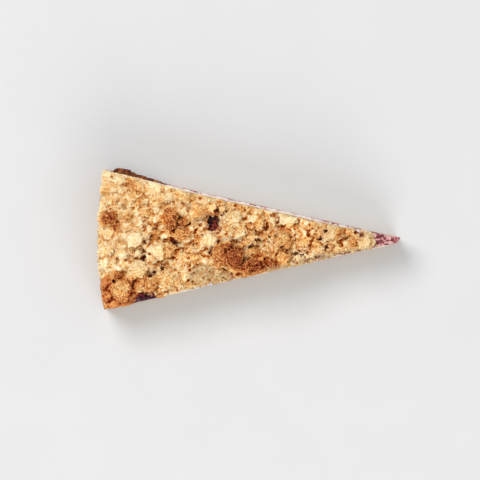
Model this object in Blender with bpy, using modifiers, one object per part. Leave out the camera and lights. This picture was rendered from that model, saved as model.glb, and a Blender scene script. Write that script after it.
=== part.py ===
"""A slice of berry cheesecake with a crumble top, cut from a round cake.

Metres, +Z up. The slice stands on its crust: its origin is under its middle, its point looks
along +X and its outer arc along -X. Each layer is one closed solid, a thin gap clear of the next.
"""

import math
import random

import bmesh
import bpy
from mathutils import Euler, Matrix, Vector, noise

MM = 0.001

# The round cake and the slice's share of it. The knife lost the very point, more of it at -Y.
CAKE_RADIUS = 140 * MM
SLICES_IN_CAKE = 14
LOST_TIP = 7.5 * MM
POINT_SKEW = 0.7 * MM
HALF_ANGLE = math.pi / SLICES_IN_CAKE
SLICE_LENGTH = CAKE_RADIUS - LOST_TIP + POINT_SKEW
CAKE_CENTRE_X = CAKE_RADIUS - SLICE_LENGTH / 2
BACK_X = -SLICE_LENGTH / 2

# Thicknesses of the layers, and their levels above the underside
BASE_THICKNESS = 5.5 * MM
RIM_THICKNESS = 5.0 * MM
CREAM_LEVEL = 18.5 * MM
BERRY_LEVEL = 26.5 * MM
CRUMBLE_BED = 4.0 * MM
LAYER_GAP = 0.3 * MM
POINT_SAG = 2.5 * MM

# How far each layer's cut faces stand back from the crust's, at +Y and at -Y
FLUSH = {1: 0.0, -1: 0.0}
FILLING_INSET = 0.6 * MM
FILLING_INSETS = {1: FILLING_INSET, -1: FILLING_INSET}
CRUMBLE_INSETS = {1: 1.3 * MM, -1: 0.6 * MM}
CRUMBLE_END_X = 56 * MM

# The knife leaned inwards through the crumble: this much for each unit of height
CRUMBLE_LEAN = {1: 0.05, -1: 0.17}
TRIM_TOP = 42 * MM

# The bed's edges stand further back, so that clumps overhang it
BED_INSETS = {1: 1.8 * MM, -1: 1.5 * MM}

# Towards the outer arc the crumble reaches out as far as the crust does
CRUMBLE_REACH = {1: 1.1 * MM, -1: 0.4 * MM}
REACH_SPAN = (26 * MM, 48 * MM)

# The cut faces wander by about this much
CUT_WANDER = 0.22 * MM

# The crust bulges out of the +Y cut face between these distances from the outer arc
BULGE = 2.2 * MM
BULGE_SPAN = (5 * MM, 29 * MM)

# Grid steps of the layers, along the slice and across it
STEPS_ALONG = 24
STEPS_ACROSS = 6

# The clumps that stand out of the crumble: middle x, y, half sizes along, across and up, turn in
# degrees, and how far the middle stands above the crumble's bed, all lengths in millimetres.
LARGE_CLUMPS = (
    (-61.0, 9.7, 4.6, 4.2, 3.6, 10, 1.0),
    (-56.0, -21.7, 5.0, 4.1, 3.8, -15, 1.0),
    (-44.1, -21.0, 5.2, 4.3, 3.6, 30, 1.2),
    (-34.7, -18.6, 5.6, 4.2, 3.6, -20, 1.0),
    (-46.5, -13.6, 5.8, 4.0, 3.4, 15, 1.0),
    (-39.5, -4.8, 3.9, 3.3, 3.0, 40, 1.0),
    (-49.6, -0.4, 3.8, 3.6, 3.0, 0, 0.8),
    (-33.8, 10.5, 4.2, 5.0, 3.8, 25, 1.4),
    (-28.5, 1.8, 4.2, 4.1, 3.8, -30, 1.2),
    (-28.5, 18.9, 5.8, 3.8, 3.2, -12, 1.0),
    (-19.8, 14.0, 6.2, 4.6, 3.6, 20, 1.2),
    (-4.4, 14.4, 3.6, 2.6, 2.6, -10, 0.8),
    (-4.8, 6.3, 7.2, 6.0, 4.2, 35, 1.2),
    (-2.2, -1.0, 5.0, 2.8, 3.0, 25, 1.6),
    (-16.2, 0.2, 4.9, 4.2, 3.4, 0, 1.0),
    (-8.8, -7.4, 6.2, 5.6, 4.6, 15, 2.0),
    (4.5, -10.2, 8.0, 5.0, 4.0, -6, 1.8),
    (13.0, -8.8, 6.6, 4.4, 3.6, 12, 1.4),
    (15.4, -0.6, 4.2, 3.4, 3.4, 0, 1.4),
    (18.0, 4.6, 5.0, 3.0, 2.8, 12, 1.4),
    (17.6, 8.8, 4.6, 2.4, 2.4, -14, 0.8),
    (27.2, 6.6, 4.2, 2.5, 2.4, -14, 0.8),
    (25.0, 1.0, 3.0, 3.4, 2.6, 0, 0.8),
    (38.2, 2.4, 4.2, 3.6, 3.6, 30, 1.4),
    (30.6, -2.2, 3.0, 2.8, 2.4, 0, 0.8),
    (44.8, -1.8, 3.8, 2.5, 2.4, 10, 0.8),
    (51.5, -0.2, 3.4, 2.7, 2.4, -10, 0.6),
)

# The smaller clumps are strewn between them
SMALL_CLUMP_COUNT = 190
SMALL_CLUMP_RADII = (1.5 * MM, 3.0 * MM)
SMALL_CLUMP_TRIES = 60
SMALL_CLUMP_SPACING = 0.72
SMALL_CLUMP_RISES = (-0.25, 0.35)
FIRST_CLUMP_RADIUS = 19 * MM

# Clumps over this radius get a finer ball. Their lumps and tilt are fractions of their size.
FINE_CLUMP_RADIUS = 2.3 * MM
CLUMP_ROUGHNESS = 0.35
CLUMP_LUMPS = 1.7
CLUMP_TILT = 0.3

# The fused clumps are resampled to this grain, roughened, then thinned to this many triangles
CRUMBLE_GRAIN = 0.75 * MM
CRUMBLE_TRIANGLES = 6600
NUGGET_SIZE = 2.4 * MM
NUGGET_RELIEF = 0.45 * MM

# Where the crumble leaves the berries bare: x, y, half sizes along, across and up, turn, in
# millimetres and degrees.
BARE_SPOTS = (
    (-15.2, 7.6, 3.0, 4.6, 12.0, -15),
    (-44.5, -26.0, 6.0, 3.0, 12.0, 13),
    (31.0, -9.4, 6.5, 2.1, 12.0, 13),
    (50.3, 4.2, 2.8, 1.5, 12.0, -13),
)

# Berries that show from above in those spots: x, y, radius, in millimetres
TOP_BERRIES = (
    (-16.0, 9.4, 3.4),
    (-14.4, 5.2, 3.5),
    (-48.3, -25.2, 3.7),
    (-43.5, -24.6, 4.0),
    (-39.3, -23.6, 3.4),
    (29.0, -8.6, 2.6),
)
TOP_BERRY_RISE = 1.3 * MM

# Berries cut through by the knife on each cut face, and how far they stand out of it
FACE_BERRY_COUNT = 9
FACE_BERRY_RADII = (2.7 * MM, 4.2 * MM)
FACE_BERRY_PROUD = 0.35 * MM
FACE_BERRY_ENDS = (24 * MM, CAKE_RADIUS - RIM_THICKNESS - 7 * MM)

# Clear space above and below the cut berries, and round each berry under the crumble
BERRY_CLEARANCE = 0.4 * MM
BERRY_FIT = 0.45 * MM

# Perlin noise seldom passes 0.6, so this brings it to about 1
NOISE_SCALE = 1.6

COLOURS = {
    "crust": ((0.42, 0.19, 0.07), 0.85),
    "cheesecake": ((0.80, 0.68, 0.50), 0.55),
    "berry_filling": ((0.20, 0.03, 0.06), 0.45),
    "crumble": ((0.76, 0.47, 0.19), 0.90),
}


def clear_scene():
    for thing in list(bpy.data.objects):
        bpy.data.objects.remove(thing)


def make_collection(name):
    made = bpy.data.collections.new(name)
    bpy.context.scene.collection.children.link(made)
    return made


def make_material(name):
    colour, roughness = COLOURS[name]
    material = bpy.data.materials.new(name)
    material.use_nodes = True
    shader = material.node_tree.nodes["Principled BSDF"]
    shader.inputs["Base Color"].default_value = (*colour, 1)
    shader.inputs["Roughness"].default_value = roughness
    shader.inputs["Metallic"].default_value = 0
    return material


def object_from(bm, name, collection):
    """A new object with the bmesh as its mesh, its faces pointing out."""
    bmesh.ops.recalc_face_normals(bm, faces=bm.faces)
    mesh = bpy.data.meshes.new(name)
    bm.to_mesh(mesh)
    bm.free()
    made = bpy.data.objects.new(name, mesh)
    collection.objects.link(made)
    return made


def smooth_step(value, start, end):
    share = min(1.0, max(0.0, (value - start) / (end - start)))
    return share * share * (3 - 2 * share)


def wave(x, y, size, seed):
    """Smooth noise between about -1 and 1, with bumps of the given size."""
    return NOISE_SCALE * noise.noise(Vector((x / size, y / size, seed)))


def cream_top(x, y):
    """Where the cheesecake ends and the berries begin."""
    return CREAM_LEVEL + 1.5 * MM * wave(x, y, 17 * MM, 3.7)


def berry_top(x, y):
    """The top of the filling, which sags towards the slice's point."""
    sag = POINT_SAG * smooth_step(x, 20 * MM, 66 * MM)
    return BERRY_LEVEL + 0.7 * MM * wave(x, y, 14 * MM, 8.1) - sag


def crumble_bed_top(x, y):
    """The packed fine crumbs between the clumps, thin on the outer corner at -Y."""
    corner = smooth_step(-x, 44 * MM, 52 * MM) * smooth_step(-y, 17 * MM, 23 * MM)
    height = CRUMBLE_BED * (1 - 0.55 * corner) + 0.8 * MM * wave(x, y, 8 * MM, 5.3)
    return berry_top(x, y) + height


def slice_point(radius, share, inset):
    """A point of the slice at a distance from the cake's centre. Share is -1 to 1 between the cuts."""
    angle = share * HALF_ANGLE
    skew = POINT_SKEW * share * smooth_step(-radius, -13 * MM, -LOST_TIP)
    x = CAKE_CENTRE_X - radius * math.cos(angle) + skew
    y = radius * math.sin(angle) - share * inset / math.cos(HALF_ANGLE)
    return x, y


def crust_bulge(x, share):
    """How far the crust stands out of the +Y cut face here."""
    along = (x - BACK_X - BULGE_SPAN[0]) / (BULGE_SPAN[1] - BULGE_SPAN[0])
    if share <= 0 or not 0 < along < 1:
        return 0.0
    return BULGE * math.sin(math.pi * along) ** 1.5 * share**6


def crumble_reach(x, share):
    """How much less the crumble stands back near the outer arc."""
    side = 1 if share > 0 else -1
    return share * CRUMBLE_REACH[side] * smooth_step(-x, *REACH_SPAN)


def layer(name, collection, radii, bottom, top, insets, bulge=None, lean=None):
    """A closed slab of the slice between two radii, with heights bottom(x, y) and top(x, y)."""
    bm = bmesh.new()
    bmesh.ops.create_grid(bm, x_segments=STEPS_ALONG, y_segments=STEPS_ACROSS, size=1)
    grown = bmesh.ops.extrude_face_region(bm, geom=bm.faces[:], use_keep_orig=True)
    upper = {v for v in grown["geom"] if isinstance(v, bmesh.types.BMVert)}
    for v in bm.verts:
        along, share = (v.co.x + 1) / 2, v.co.y
        side = 1 if share > 0 else -1
        radius = radii[0] + (radii[1] - radii[0]) * along
        x, y = slice_point(radius, share, insets[side])
        y += CUT_WANDER * share**5 * wave(x, 7 * side * MM, 9 * MM, 2.9)
        if bulge:
            y += bulge(x, share)
        z = top(x, y) if v in upper else bottom(x, y)
        if lean:
            y -= share * lean[side] * (z - BERRY_LEVEL)
        v.co = (x, y, z)
    return object_from(bm, name, collection)


def clump(name, collection, centre, half_sizes, turn, detail, seed):
    """An uneven lump: a ball drawn out, roughened by noise, then tilted and turned."""
    bm = bmesh.new()
    bmesh.ops.create_icosphere(bm, subdivisions=detail, radius=1)
    tilt = (CLUMP_TILT * math.sin(seed), CLUMP_TILT * math.cos(seed), turn)
    turned = Euler(tilt).to_matrix()
    for v in bm.verts:
        rough = 1 + CLUMP_ROUGHNESS * noise.noise(v.co * CLUMP_LUMPS + Vector((seed, 0, 0)))
        stretched = Vector(a * b * rough for a, b in zip(v.co, half_sizes))
        v.co = turned @ stretched + Vector(centre)
    return object_from(bm, name, collection)


def ball(name, collection, centre, radius):
    bm = bmesh.new()
    bmesh.ops.create_icosphere(bm, subdivisions=2, radius=radius)
    bmesh.ops.translate(bm, verts=bm.verts, vec=centre)
    return object_from(bm, name, collection)


def combine(target, others, operation):
    """Applies one Boolean of a whole collection to the target, then clears the collection.

    The manifold solver takes hundreds of clumps at once, which the exact one is slow at.
    """
    modifier = target.modifiers.new("combine", "BOOLEAN")
    modifier.operation = operation
    modifier.operand_type = "COLLECTION"
    modifier.collection = others
    modifier.solver = "MANIFOLD"
    apply_modifiers(target)
    for used in list(others.objects):
        bpy.data.objects.remove(used)
    keep_main_shell(target)


def apply_modifiers(thing):
    graph = bpy.context.evaluated_depsgraph_get()
    mesh = bpy.data.meshes.new_from_object(thing.evaluated_get(graph))
    thing.modifiers.clear()
    thing.data = mesh


def even_out(thing, grain, triangles):
    """Replaces the slivers that fusing leaves with an even, nubbly skin of so many triangles."""
    remesh = thing.modifiers.new("even_out", "REMESH")
    remesh.mode = "VOXEL"
    remesh.voxel_size = grain
    apply_modifiers(thing)
    for v in thing.data.vertices:
        away = noise.voronoi(v.co / NUGGET_SIZE)[0][0]
        v.co += v.normal * NUGGET_RELIEF * (0.5 - away) * max(0, v.normal.z + 0.5)
    count = sum(len(face.vertices) - 2 for face in thing.data.polygons)
    thin = thing.modifiers.new("thin_out", "DECIMATE")
    thin.ratio = triangles / count
    apply_modifiers(thing)


def keep_main_shell(thing):
    """Fills what fusing has sealed inside and drops loose scraps: the largest shell stays."""
    bm = bmesh.new()
    bm.from_mesh(thing.data)
    left = set(bm.verts)
    shells = []
    while left:
        shell = []
        waiting = [left.pop()]
        while waiting:
            v = waiting.pop()
            shell.append(v)
            near = {e.other_vert(v) for e in v.link_edges} & left
            left -= near
            waiting += near
        shells.append(shell)
    shells.sort(key=len)
    for shell in shells[:-1]:
        bmesh.ops.delete(bm, geom=shell, context="VERTS")
    bm.to_mesh(thing.data)
    bm.free()


def dress(thing, name):
    """The layer's material, and smooth shading between its sharp edges."""
    thing.data.materials.clear()
    thing.data.materials.append(make_material(name))
    thing.data.shade_smooth()
    thing.data.set_sharp_from_angle(angle=math.radians(50))


def make_crust(parts, cutters):
    """The pastry: a flat base and a rim up the outer arc, as high as the filling."""
    crust = layer(
        "crust",
        parts,
        (CAKE_RADIUS, LOST_TIP),
        lambda x, y: 0.0,
        lambda x, y: BASE_THICKNESS,
        FLUSH,
        bulge=crust_bulge,
    )
    layer(
        "rim",
        cutters,
        (CAKE_RADIUS, CAKE_RADIUS - RIM_THICKNESS),
        lambda x, y: BASE_THICKNESS - 2 * MM,
        berry_top,
        FLUSH,
    )
    combine(crust, cutters, "UNION")
    dress(crust, "crust")


def inside_radii():
    """The filling's reach, from inside the rim to the slice's point."""
    return CAKE_RADIUS - RIM_THICKNESS - LAYER_GAP, LOST_TIP + LAYER_GAP


def make_cheesecake(parts):
    cheesecake = layer(
        "cheesecake",
        parts,
        inside_radii(),
        lambda x, y: BASE_THICKNESS + LAYER_GAP,
        cream_top,
        FILLING_INSETS,
    )
    dress(cheesecake, "cheesecake")


def face_berries(side):
    """Centres and radii of the berries that one cut face went through."""
    draw = random.Random(40 + side)
    first, last = FACE_BERRY_ENDS
    for i in range(FACE_BERRY_COUNT):
        away = first + (last - first) * (i + draw.uniform(0.1, 0.9)) / FACE_BERRY_COUNT
        x, y = slice_point(away, side, FILLING_INSET)
        floor = cream_top(x, y) + LAYER_GAP + BERRY_CLEARANCE
        roof = berry_top(x, y) - BERRY_CLEARANCE
        radius = min(draw.uniform(*FACE_BERRY_RADII), (roof - floor) / 2)
        depth = FILLING_INSET + radius * draw.uniform(0.7, 1) - FACE_BERRY_PROUD
        x, y = slice_point(away, side, depth)
        yield Vector((x, y, draw.uniform(floor + radius, roof - radius))), radius


def top_berries():
    """Centres and radii of the berries that show from above."""
    for x, y, radius in TOP_BERRIES:
        x, y, radius = x * MM, y * MM, radius * MM
        yield Vector((x, y, berry_top(x, y) + TOP_BERRY_RISE - radius)), radius


def make_berry_filling(parts, cutters):
    """The berry layer, with the berries that show fused on."""
    filling = layer(
        "berry_filling",
        parts,
        inside_radii(),
        lambda x, y: cream_top(x, y) + LAYER_GAP,
        berry_top,
        FILLING_INSETS,
    )
    berries = [*face_berries(1), *face_berries(-1), *top_berries()]
    for i, (centre, radius) in enumerate(berries):
        ball(f"berry_{i}", cutters, centre, radius)
    combine(filling, cutters, "UNION")
    dress(filling, "berry_filling")


def near_bare_spot(x, y, reach):
    for spot_x, spot_y, along, across, _, turn in BARE_SPOTS:
        away = Vector((x - spot_x * MM, y - spot_y * MM))
        away.rotate(Matrix.Rotation(-math.radians(turn), 2))
        if math.hypot(away.x / (along * MM + reach), away.y / (across * MM + reach)) < 1:
            return True
    return False


def small_clumps():
    """Middle, radius and rise of the smaller clumps, strewn by chance and kept apart."""
    draw = random.Random(11)
    taken = [(x * MM, y * MM, min(a, b) * 0.75 * MM) for x, y, a, b, _, _, _ in LARGE_CLUMPS]
    last_radius = CAKE_RADIUS - 2 * MM
    for _ in range(SMALL_CLUMP_COUNT):
        radius = draw.uniform(*SMALL_CLUMP_RADII)
        for _ in range(SMALL_CLUMP_TRIES):
            away = math.sqrt(draw.uniform(FIRST_CLUMP_RADIUS**2, last_radius**2))
            x, y = slice_point(away, draw.uniform(-1, 1), radius * 0.4)
            close = any(
                math.hypot(x - a, y - b) < (c + radius) * SMALL_CLUMP_SPACING for a, b, c in taken
            )
            if not close and not near_bare_spot(x, y, radius * 0.7):
                taken.append((x, y, radius))
                yield x, y, radius, radius * draw.uniform(*SMALL_CLUMP_RISES)
                break


def make_crumble(parts, cutters):
    """The baked crumbs: a packed bed with clumps fused on, trimmed by the knife and the tin."""
    edges = (CAKE_RADIUS - 0.2 * MM, CAKE_CENTRE_X - CRUMBLE_END_X)
    crumble = layer(
        "crumble",
        parts,
        (edges[0] - 0.4 * MM, edges[1] - 1 * MM),
        lambda x, y: berry_top(x, y) - MM,
        crumble_bed_top,
        BED_INSETS,
        bulge=crumble_reach,
    )
    for i, (x, y, along, across, up, turn, rise) in enumerate(LARGE_CLUMPS):
        centre = (x * MM, y * MM, crumble_bed_top(x * MM, y * MM) + rise * MM)
        sizes = (along * MM, across * MM, up * MM)
        clump(f"large_{i}", cutters, centre, sizes, math.radians(turn), 2, i * 3.1)
    for i, (x, y, radius, rise) in enumerate(small_clumps()):
        centre = (x, y, crumble_bed_top(x, y) + rise)
        sizes = (radius * 1.15, radius, radius * 0.85)
        detail = 2 if radius > FINE_CLUMP_RADIUS else 1
        clump(f"small_{i}", cutters, centre, sizes, i * 1.3, detail, 50 + i * 1.7)
    combine(crumble, cutters, "UNION")
    even_out(crumble, CRUMBLE_GRAIN, CRUMBLE_TRIANGLES)

    # The knife's two cuts, the tin's wall and the filling below bound the crumble.
    layer(
        "trim",
        cutters,
        edges,
        lambda x, y: berry_top(x, y) + LAYER_GAP,
        lambda x, y: TRIM_TOP,
        CRUMBLE_INSETS,
        bulge=crumble_reach,
        lean=CRUMBLE_LEAN,
    )
    combine(crumble, cutters, "INTERSECT")

    # Bare spots and room for the berries are taken out of it.
    for i, (x, y, along, across, up, turn) in enumerate(BARE_SPOTS):
        centre = (x * MM, y * MM, BERRY_LEVEL)
        sizes = (along * MM, across * MM, up * MM)
        clump(f"spot_{i}", cutters, centre, sizes, math.radians(turn), 2, 90 + i)
    for i, (centre, radius) in enumerate([*face_berries(1), *face_berries(-1), *top_berries()]):
        ball(f"room_{i}", cutters, centre, radius + BERRY_FIT)
    combine(crumble, cutters, "DIFFERENCE")
    dress(crumble, "crumble")


def stand_at_origin(parts):
    """Moves every layer so that the whole slice's box stands on the origin."""
    points = [v.co for part in parts.objects for v in part.data.vertices]
    low = Vector(min(p[i] for p in points) for i in range(3))
    high = Vector(max(p[i] for p in points) for i in range(3))
    middle = Vector(((low.x + high.x) / 2, (low.y + high.y) / 2, low.z))
    for part in parts.objects:
        part.data.transform(Matrix.Translation(-middle))


def main():
    clear_scene()
    parts = make_collection("cheesecake_slice")
    cutters = make_collection("cutters")
    make_crust(parts, cutters)
    make_cheesecake(parts)
    make_berry_filling(parts, cutters)
    make_crumble(parts, cutters)
    stand_at_origin(parts)
    bpy.data.collections.remove(cutters)


main()
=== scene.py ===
"""The looks of a slice of berry cheesecake with a crumble top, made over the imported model.

Lengths are in metres, and MM turns millimetres into them. Every draw is seeded.
"""

import math
import random

import bmesh
import bpy
import numpy as np
from mathutils import Euler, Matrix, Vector, noise
from mathutils.bvhtree import BVHTree
from mathutils.kdtree import KDTree

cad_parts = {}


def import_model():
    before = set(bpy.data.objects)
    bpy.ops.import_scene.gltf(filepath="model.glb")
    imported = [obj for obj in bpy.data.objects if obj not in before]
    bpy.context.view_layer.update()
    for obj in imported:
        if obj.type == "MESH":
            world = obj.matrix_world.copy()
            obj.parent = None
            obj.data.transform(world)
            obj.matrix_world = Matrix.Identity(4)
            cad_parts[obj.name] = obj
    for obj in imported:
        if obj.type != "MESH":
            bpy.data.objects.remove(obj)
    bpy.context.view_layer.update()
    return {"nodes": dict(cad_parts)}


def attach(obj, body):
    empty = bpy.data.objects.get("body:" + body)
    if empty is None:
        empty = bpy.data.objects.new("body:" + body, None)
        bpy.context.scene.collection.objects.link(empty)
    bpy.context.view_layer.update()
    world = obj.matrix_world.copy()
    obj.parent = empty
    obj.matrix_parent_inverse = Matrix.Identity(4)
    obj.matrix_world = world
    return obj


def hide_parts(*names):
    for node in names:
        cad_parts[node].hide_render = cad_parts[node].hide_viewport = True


MM = 0.001

# The slice's own measures, as its solids have them
CAKE_RADIUS = 140 * MM
HALF_ANGLE = math.pi / 14
CAKE_CENTRE_X = 73.3 * MM
CREAM_LEVEL = 18.5 * MM
BERRY_LEVEL = 26.5 * MM
POINT_SAG = 2.5 * MM
LAYER_GAP = 0.3 * MM
FILLING_INSET = 0.6 * MM

# The crumble's cut faces, side 1 at +Y and side -1 at -Y: how far inside the cut their foot lies,
# how far it comes out again towards the outer end, over this span of -X, and how much they lean in
# with their height.
CRUMBLE_INSETS = {1: 1.3 * MM, -1: 0.6 * MM}
CRUMBLE_REACH = {1: 1.1 * MM, -1: 0.4 * MM}
CRUMBLE_LEAN = {1: 0.05, -1: 0.17}
REACH_SPAN = (26 * MM, 48 * MM)

# Crumbs of the cut face at -Y lean out over the layers below by this much.
CUT_HANG = 0.45 * MM

# The crumble's skin is made even three times, finer each time, with lumps grown in between, and
# then thinned out to this many triangles. A lump's rise is how far its middle lies over the skin,
# as a share of its radius.
SKIN_GRAINS = (0.55 * MM, 0.40 * MM, 0.28 * MM)
MOST_TRIANGLES = 195000
LARGE_LUMPS = {"count": 350, "radii": (0.7 * MM, 1.5 * MM), "detail": 3, "seed": 41, "rise": -0.25}
SMALL_LUMPS = {"count": 4500, "radii": (0.35 * MM, 0.8 * MM), "detail": 2, "seed": 42, "rise": 0.1}

# The separate crumbs on it, and the dust on the strip of cream beside it
NUGGETS = {"count": 900, "radii": (0.35 * MM, 0.8 * MM), "detail": 2, "seed": 21, "rise": 0.0}
GRAINS = {"count": 8000, "radii": (0.2 * MM, 0.38 * MM), "detail": 1, "seed": 22, "rise": 0.2}
DUST = {"count": 340, "radii": (0.2 * MM, 0.55 * MM), "seed": 51}

# How much painted crevice shade a crumb takes on down its sides, and how many shapes crumbs have
SIDE_SHADE = 0.4
CRUMB_SHAPES = 24

# The round clump on the corner at -Y: x and y in millimetres
CORNER_CLUMP = (-55.8, -21.8)

# Where the browned ridge comes down to the cut, and the middle, which is a little browner: x, y and
# radius in millimetres, and strength
RIDGE_FOOT = (2.0, -14.0, 6.5, 1.0)
BROWNER_MIDDLE = (-30, 3, 12, 1.0)

# The berries, as the solids have them: x, y and radius in millimetres of those that show from
# above, and the rule's numbers for those that the knife cut.
TOP_BERRIES = (
    (-16.0, 9.4, 3.4),
    (-14.4, 5.2, 3.5),
    (-48.3, -25.2, 3.7),
    (-43.5, -24.6, 4.0),
    (-39.3, -23.6, 3.4),
    (29.0, -8.6, 2.6),
)
# The last of them has cream over it.
BARE_BERRIES = 5
TOP_BERRY_RISE = 1.3 * MM
FACE_BERRY_COUNT = 9
FACE_BERRY_RADII = (2.7 * MM, 4.2 * MM)
FACE_BERRY_PROUD = 0.35 * MM
FACE_BERRY_ENDS = (24 * MM, 128 * MM)
BERRY_CLEARANCE = 0.4 * MM

# The crust that bulged out under the cut at +Y: x and how far it comes out there, in millimetres.
BULGE_WIDTHS = (
    (-60.4, -0.5),
    (-59.2, 1.3),
    (-57.8, 2.1),
    (-55.0, 2.2),
    (-52.2, 1.9),
    (-50.2, 1.1),
    (-47.2, 1.0),
    (-44.8, 0.7),
    (-41.8, 0.8),
    (-39.0, 0.4),
    (-36.0, 0.0),
    (-30.0, -0.4),
)

# The crumble lies over the crust's rim by this much, but not at the corner at -Y.
RIM_TUCK = 0.7 * MM

# The grain that the layers below are made even with
CREAM_GRAIN = 0.6 * MM
PASTRY_GRAIN = 0.55 * MM

# The colour of each cream, and of the clouds in it
CREAM_COLOURS = ((0.88, 0.80, 0.66), (0.84, 0.75, 0.60))
BERRY_CREAM_COLOURS = ((0.74, 0.69, 0.67), (0.68, 0.61, 0.61))

# The studio's lights, aimed at the slice: place and size in metres, and power in watts
LIGHTS = {
    "key": ((-0.60, 0.65, 1.5), 0.9, 21.5),
    "fill": ((0.3, -1.1, 0.8), 1.2, 11),
}
SKY_STRENGTH = 0.64

# The camera: the photograph's width spans this much at the level of the slice's top.
CAMERA_PLACE = (-3.5 * MM, 0, 2.0)
FRAME_WIDTH = 210.7 * MM
FOCUS_LEVEL = 30 * MM
SENSOR_WIDTH = 36

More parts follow.
